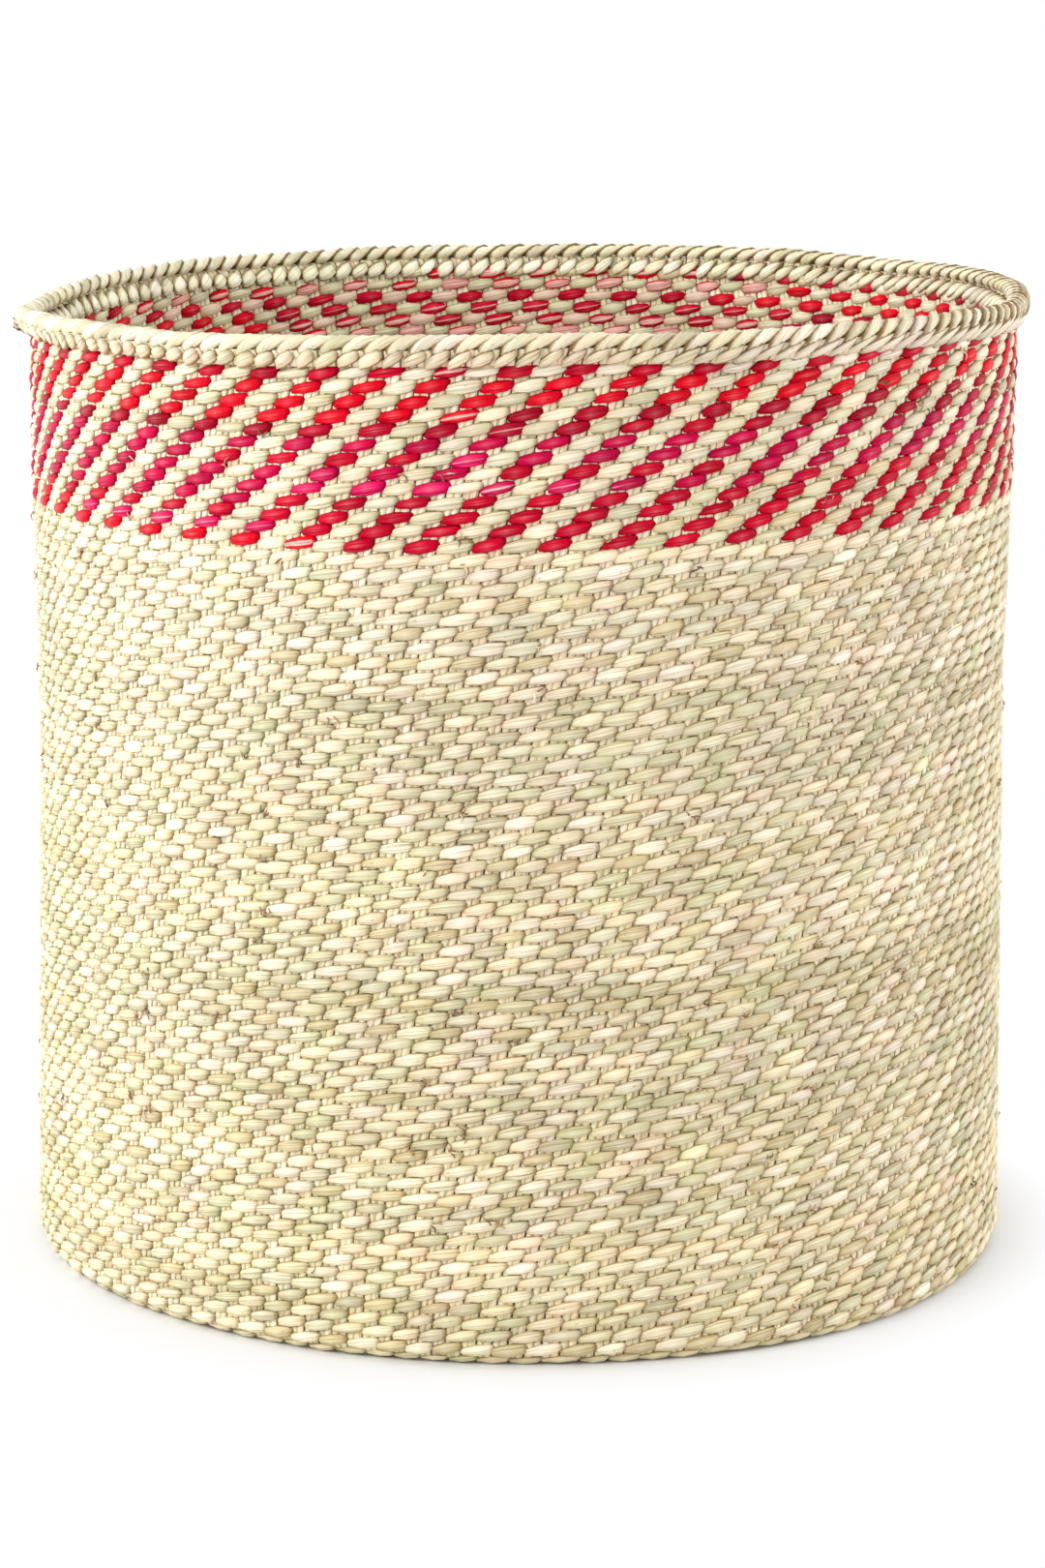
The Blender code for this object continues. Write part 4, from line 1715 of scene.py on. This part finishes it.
@dataclass(frozen=True)
class Studio:
    """A white floor, soft light from the upper left and the photograph's camera."""

    camera_place: tuple[float, float, float] = (0.00058, -1.40373, 0.44451)
    camera_pitch: float = math.radians(78.15)
    lens: float = 97.8
    sensor: float = 36.0
    farthest: float = 200.0
    floor_size: float = 60.0
    floor_tone: Colour = (0.80, 0.80, 0.80, 1.0)
    shadow_start: float = 160.0 * MM
    shadow_reach: float = 26.0 * MM
    shadow_curve: float = 0.6
    sky: float = 0.86
    middle: tuple[float, float, float] = (0.0, 0.0, 0.16)
    lamps: tuple[Lamp, ...] = (
        Lamp("key_softbox", (-1.35, -1.30, 1.25), 1.1, 19.0),
        Lamp("fill_softbox", (1.7, -1.1, 0.9), 1.4, 2.8),
        Lamp("left_wall", (-1.7, 0.25, 0.6), 1.3, 15.0),
        Lamp("right_wall", (1.7, 0.25, 0.6), 1.3, 9.8),
    )

    def build(self) -> None:
        """Set up the camera, the floor, the world and the lamps."""
        self._camera()
        self._floor()
        self._world()
        for lamp in self.lamps:
            lamp.hang(self.middle)
        bpy.context.scene.view_settings.view_transform = "Standard"

    def _camera(self) -> None:
        """Place the camera where the photograph was taken from."""
        data = bpy.data.cameras.new("camera")
        data.lens = self.lens
        data.sensor_width = self.sensor
        data.clip_end = self.farthest
        camera = bpy.data.objects.new("camera", data)
        camera.location = self.camera_place
        camera.rotation_euler = (self.camera_pitch, 0.0, 0.0)
        bpy.context.scene.collection.objects.link(camera)
        bpy.context.scene.camera = camera

    def _floor(self) -> None:
        """Lay a floor that keeps the basket's shadow and turns pure white a little way out."""
        half = 0.5 * self.floor_size
        mesh = bpy.data.meshes.new("floor")
        corners = [(-half, -half, 0.0), (half, -half, 0.0), (half, half, 0.0), (-half, half, 0.0)]
        mesh.from_pydata(corners, [], [(0, 1, 2, 3)])
        floor = bpy.data.objects.new("floor", mesh)
        bpy.context.scene.collection.objects.link(floor)
        material = bpy.data.materials.new("white_floor")
        material.use_nodes = True
        material.node_tree.nodes.clear()
        graph = Graph(material.node_tree)
        paint_coat = graph.node("ShaderNodeBsdfDiffuse", None, {"Color": self.floor_tone})
        white = graph.node("ShaderNodeEmission", None, {"Color": WHITE, "Strength": 1.0})
        place = graph.node("ShaderNodeNewGeometry").output("Position")
        radius = graph.node("ShaderNodeVectorMath", {"operation": "LENGTH"}, {0: place}).output("Value")
        away = ((radius - self.shadow_start) / self.shadow_reach).clamped() ** self.shadow_curve
        seen = graph.node("ShaderNodeLightPath").output("Is Camera Ray")
        lit = graph.node("ShaderNodeMixShader", None, {0: away * seen, 1: paint_coat, 2: white})
        graph.node("ShaderNodeOutputMaterial", None, {"Surface": lit})
        mesh.materials.append(material)

    def _world(self) -> None:
        """Light the world evenly, and show it white."""
        world = bpy.data.worlds.new("studio")
        bpy.context.scene.world = world
        world.use_nodes = True
        world.node_tree.nodes.clear()
        graph = Graph(world.node_tree)
        path = graph.node("ShaderNodeLightPath")
        shown = path.output("Is Camera Ray").most(path.output("Is Glossy Ray"))
        white = shown.most(path.output("Is Transmission Ray"))
        light = graph.node("ShaderNodeBackground", None, {"Color": WHITE, "Strength": self.sky})
        backdrop = graph.node("ShaderNodeBackground", None, {"Color": WHITE, "Strength": 1.0})
        mixed = graph.node("ShaderNodeMixShader", None, {0: white, 1: light, 2: backdrop})
        graph.node("ShaderNodeOutputWorld", None, {"Surface": mixed})


def main() -> None:
    """Build the basket and its studio."""
    logging.basicConfig(level=logging.INFO, format="%(message)s")
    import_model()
    shop = Workshop()
    Studio().build()
    Wall(shop).build()
    Stakes(shop).build(Base(shop).build())
    Border(shop).build()
    Frays(shop).build()


if __name__ == "__main__":
    main()
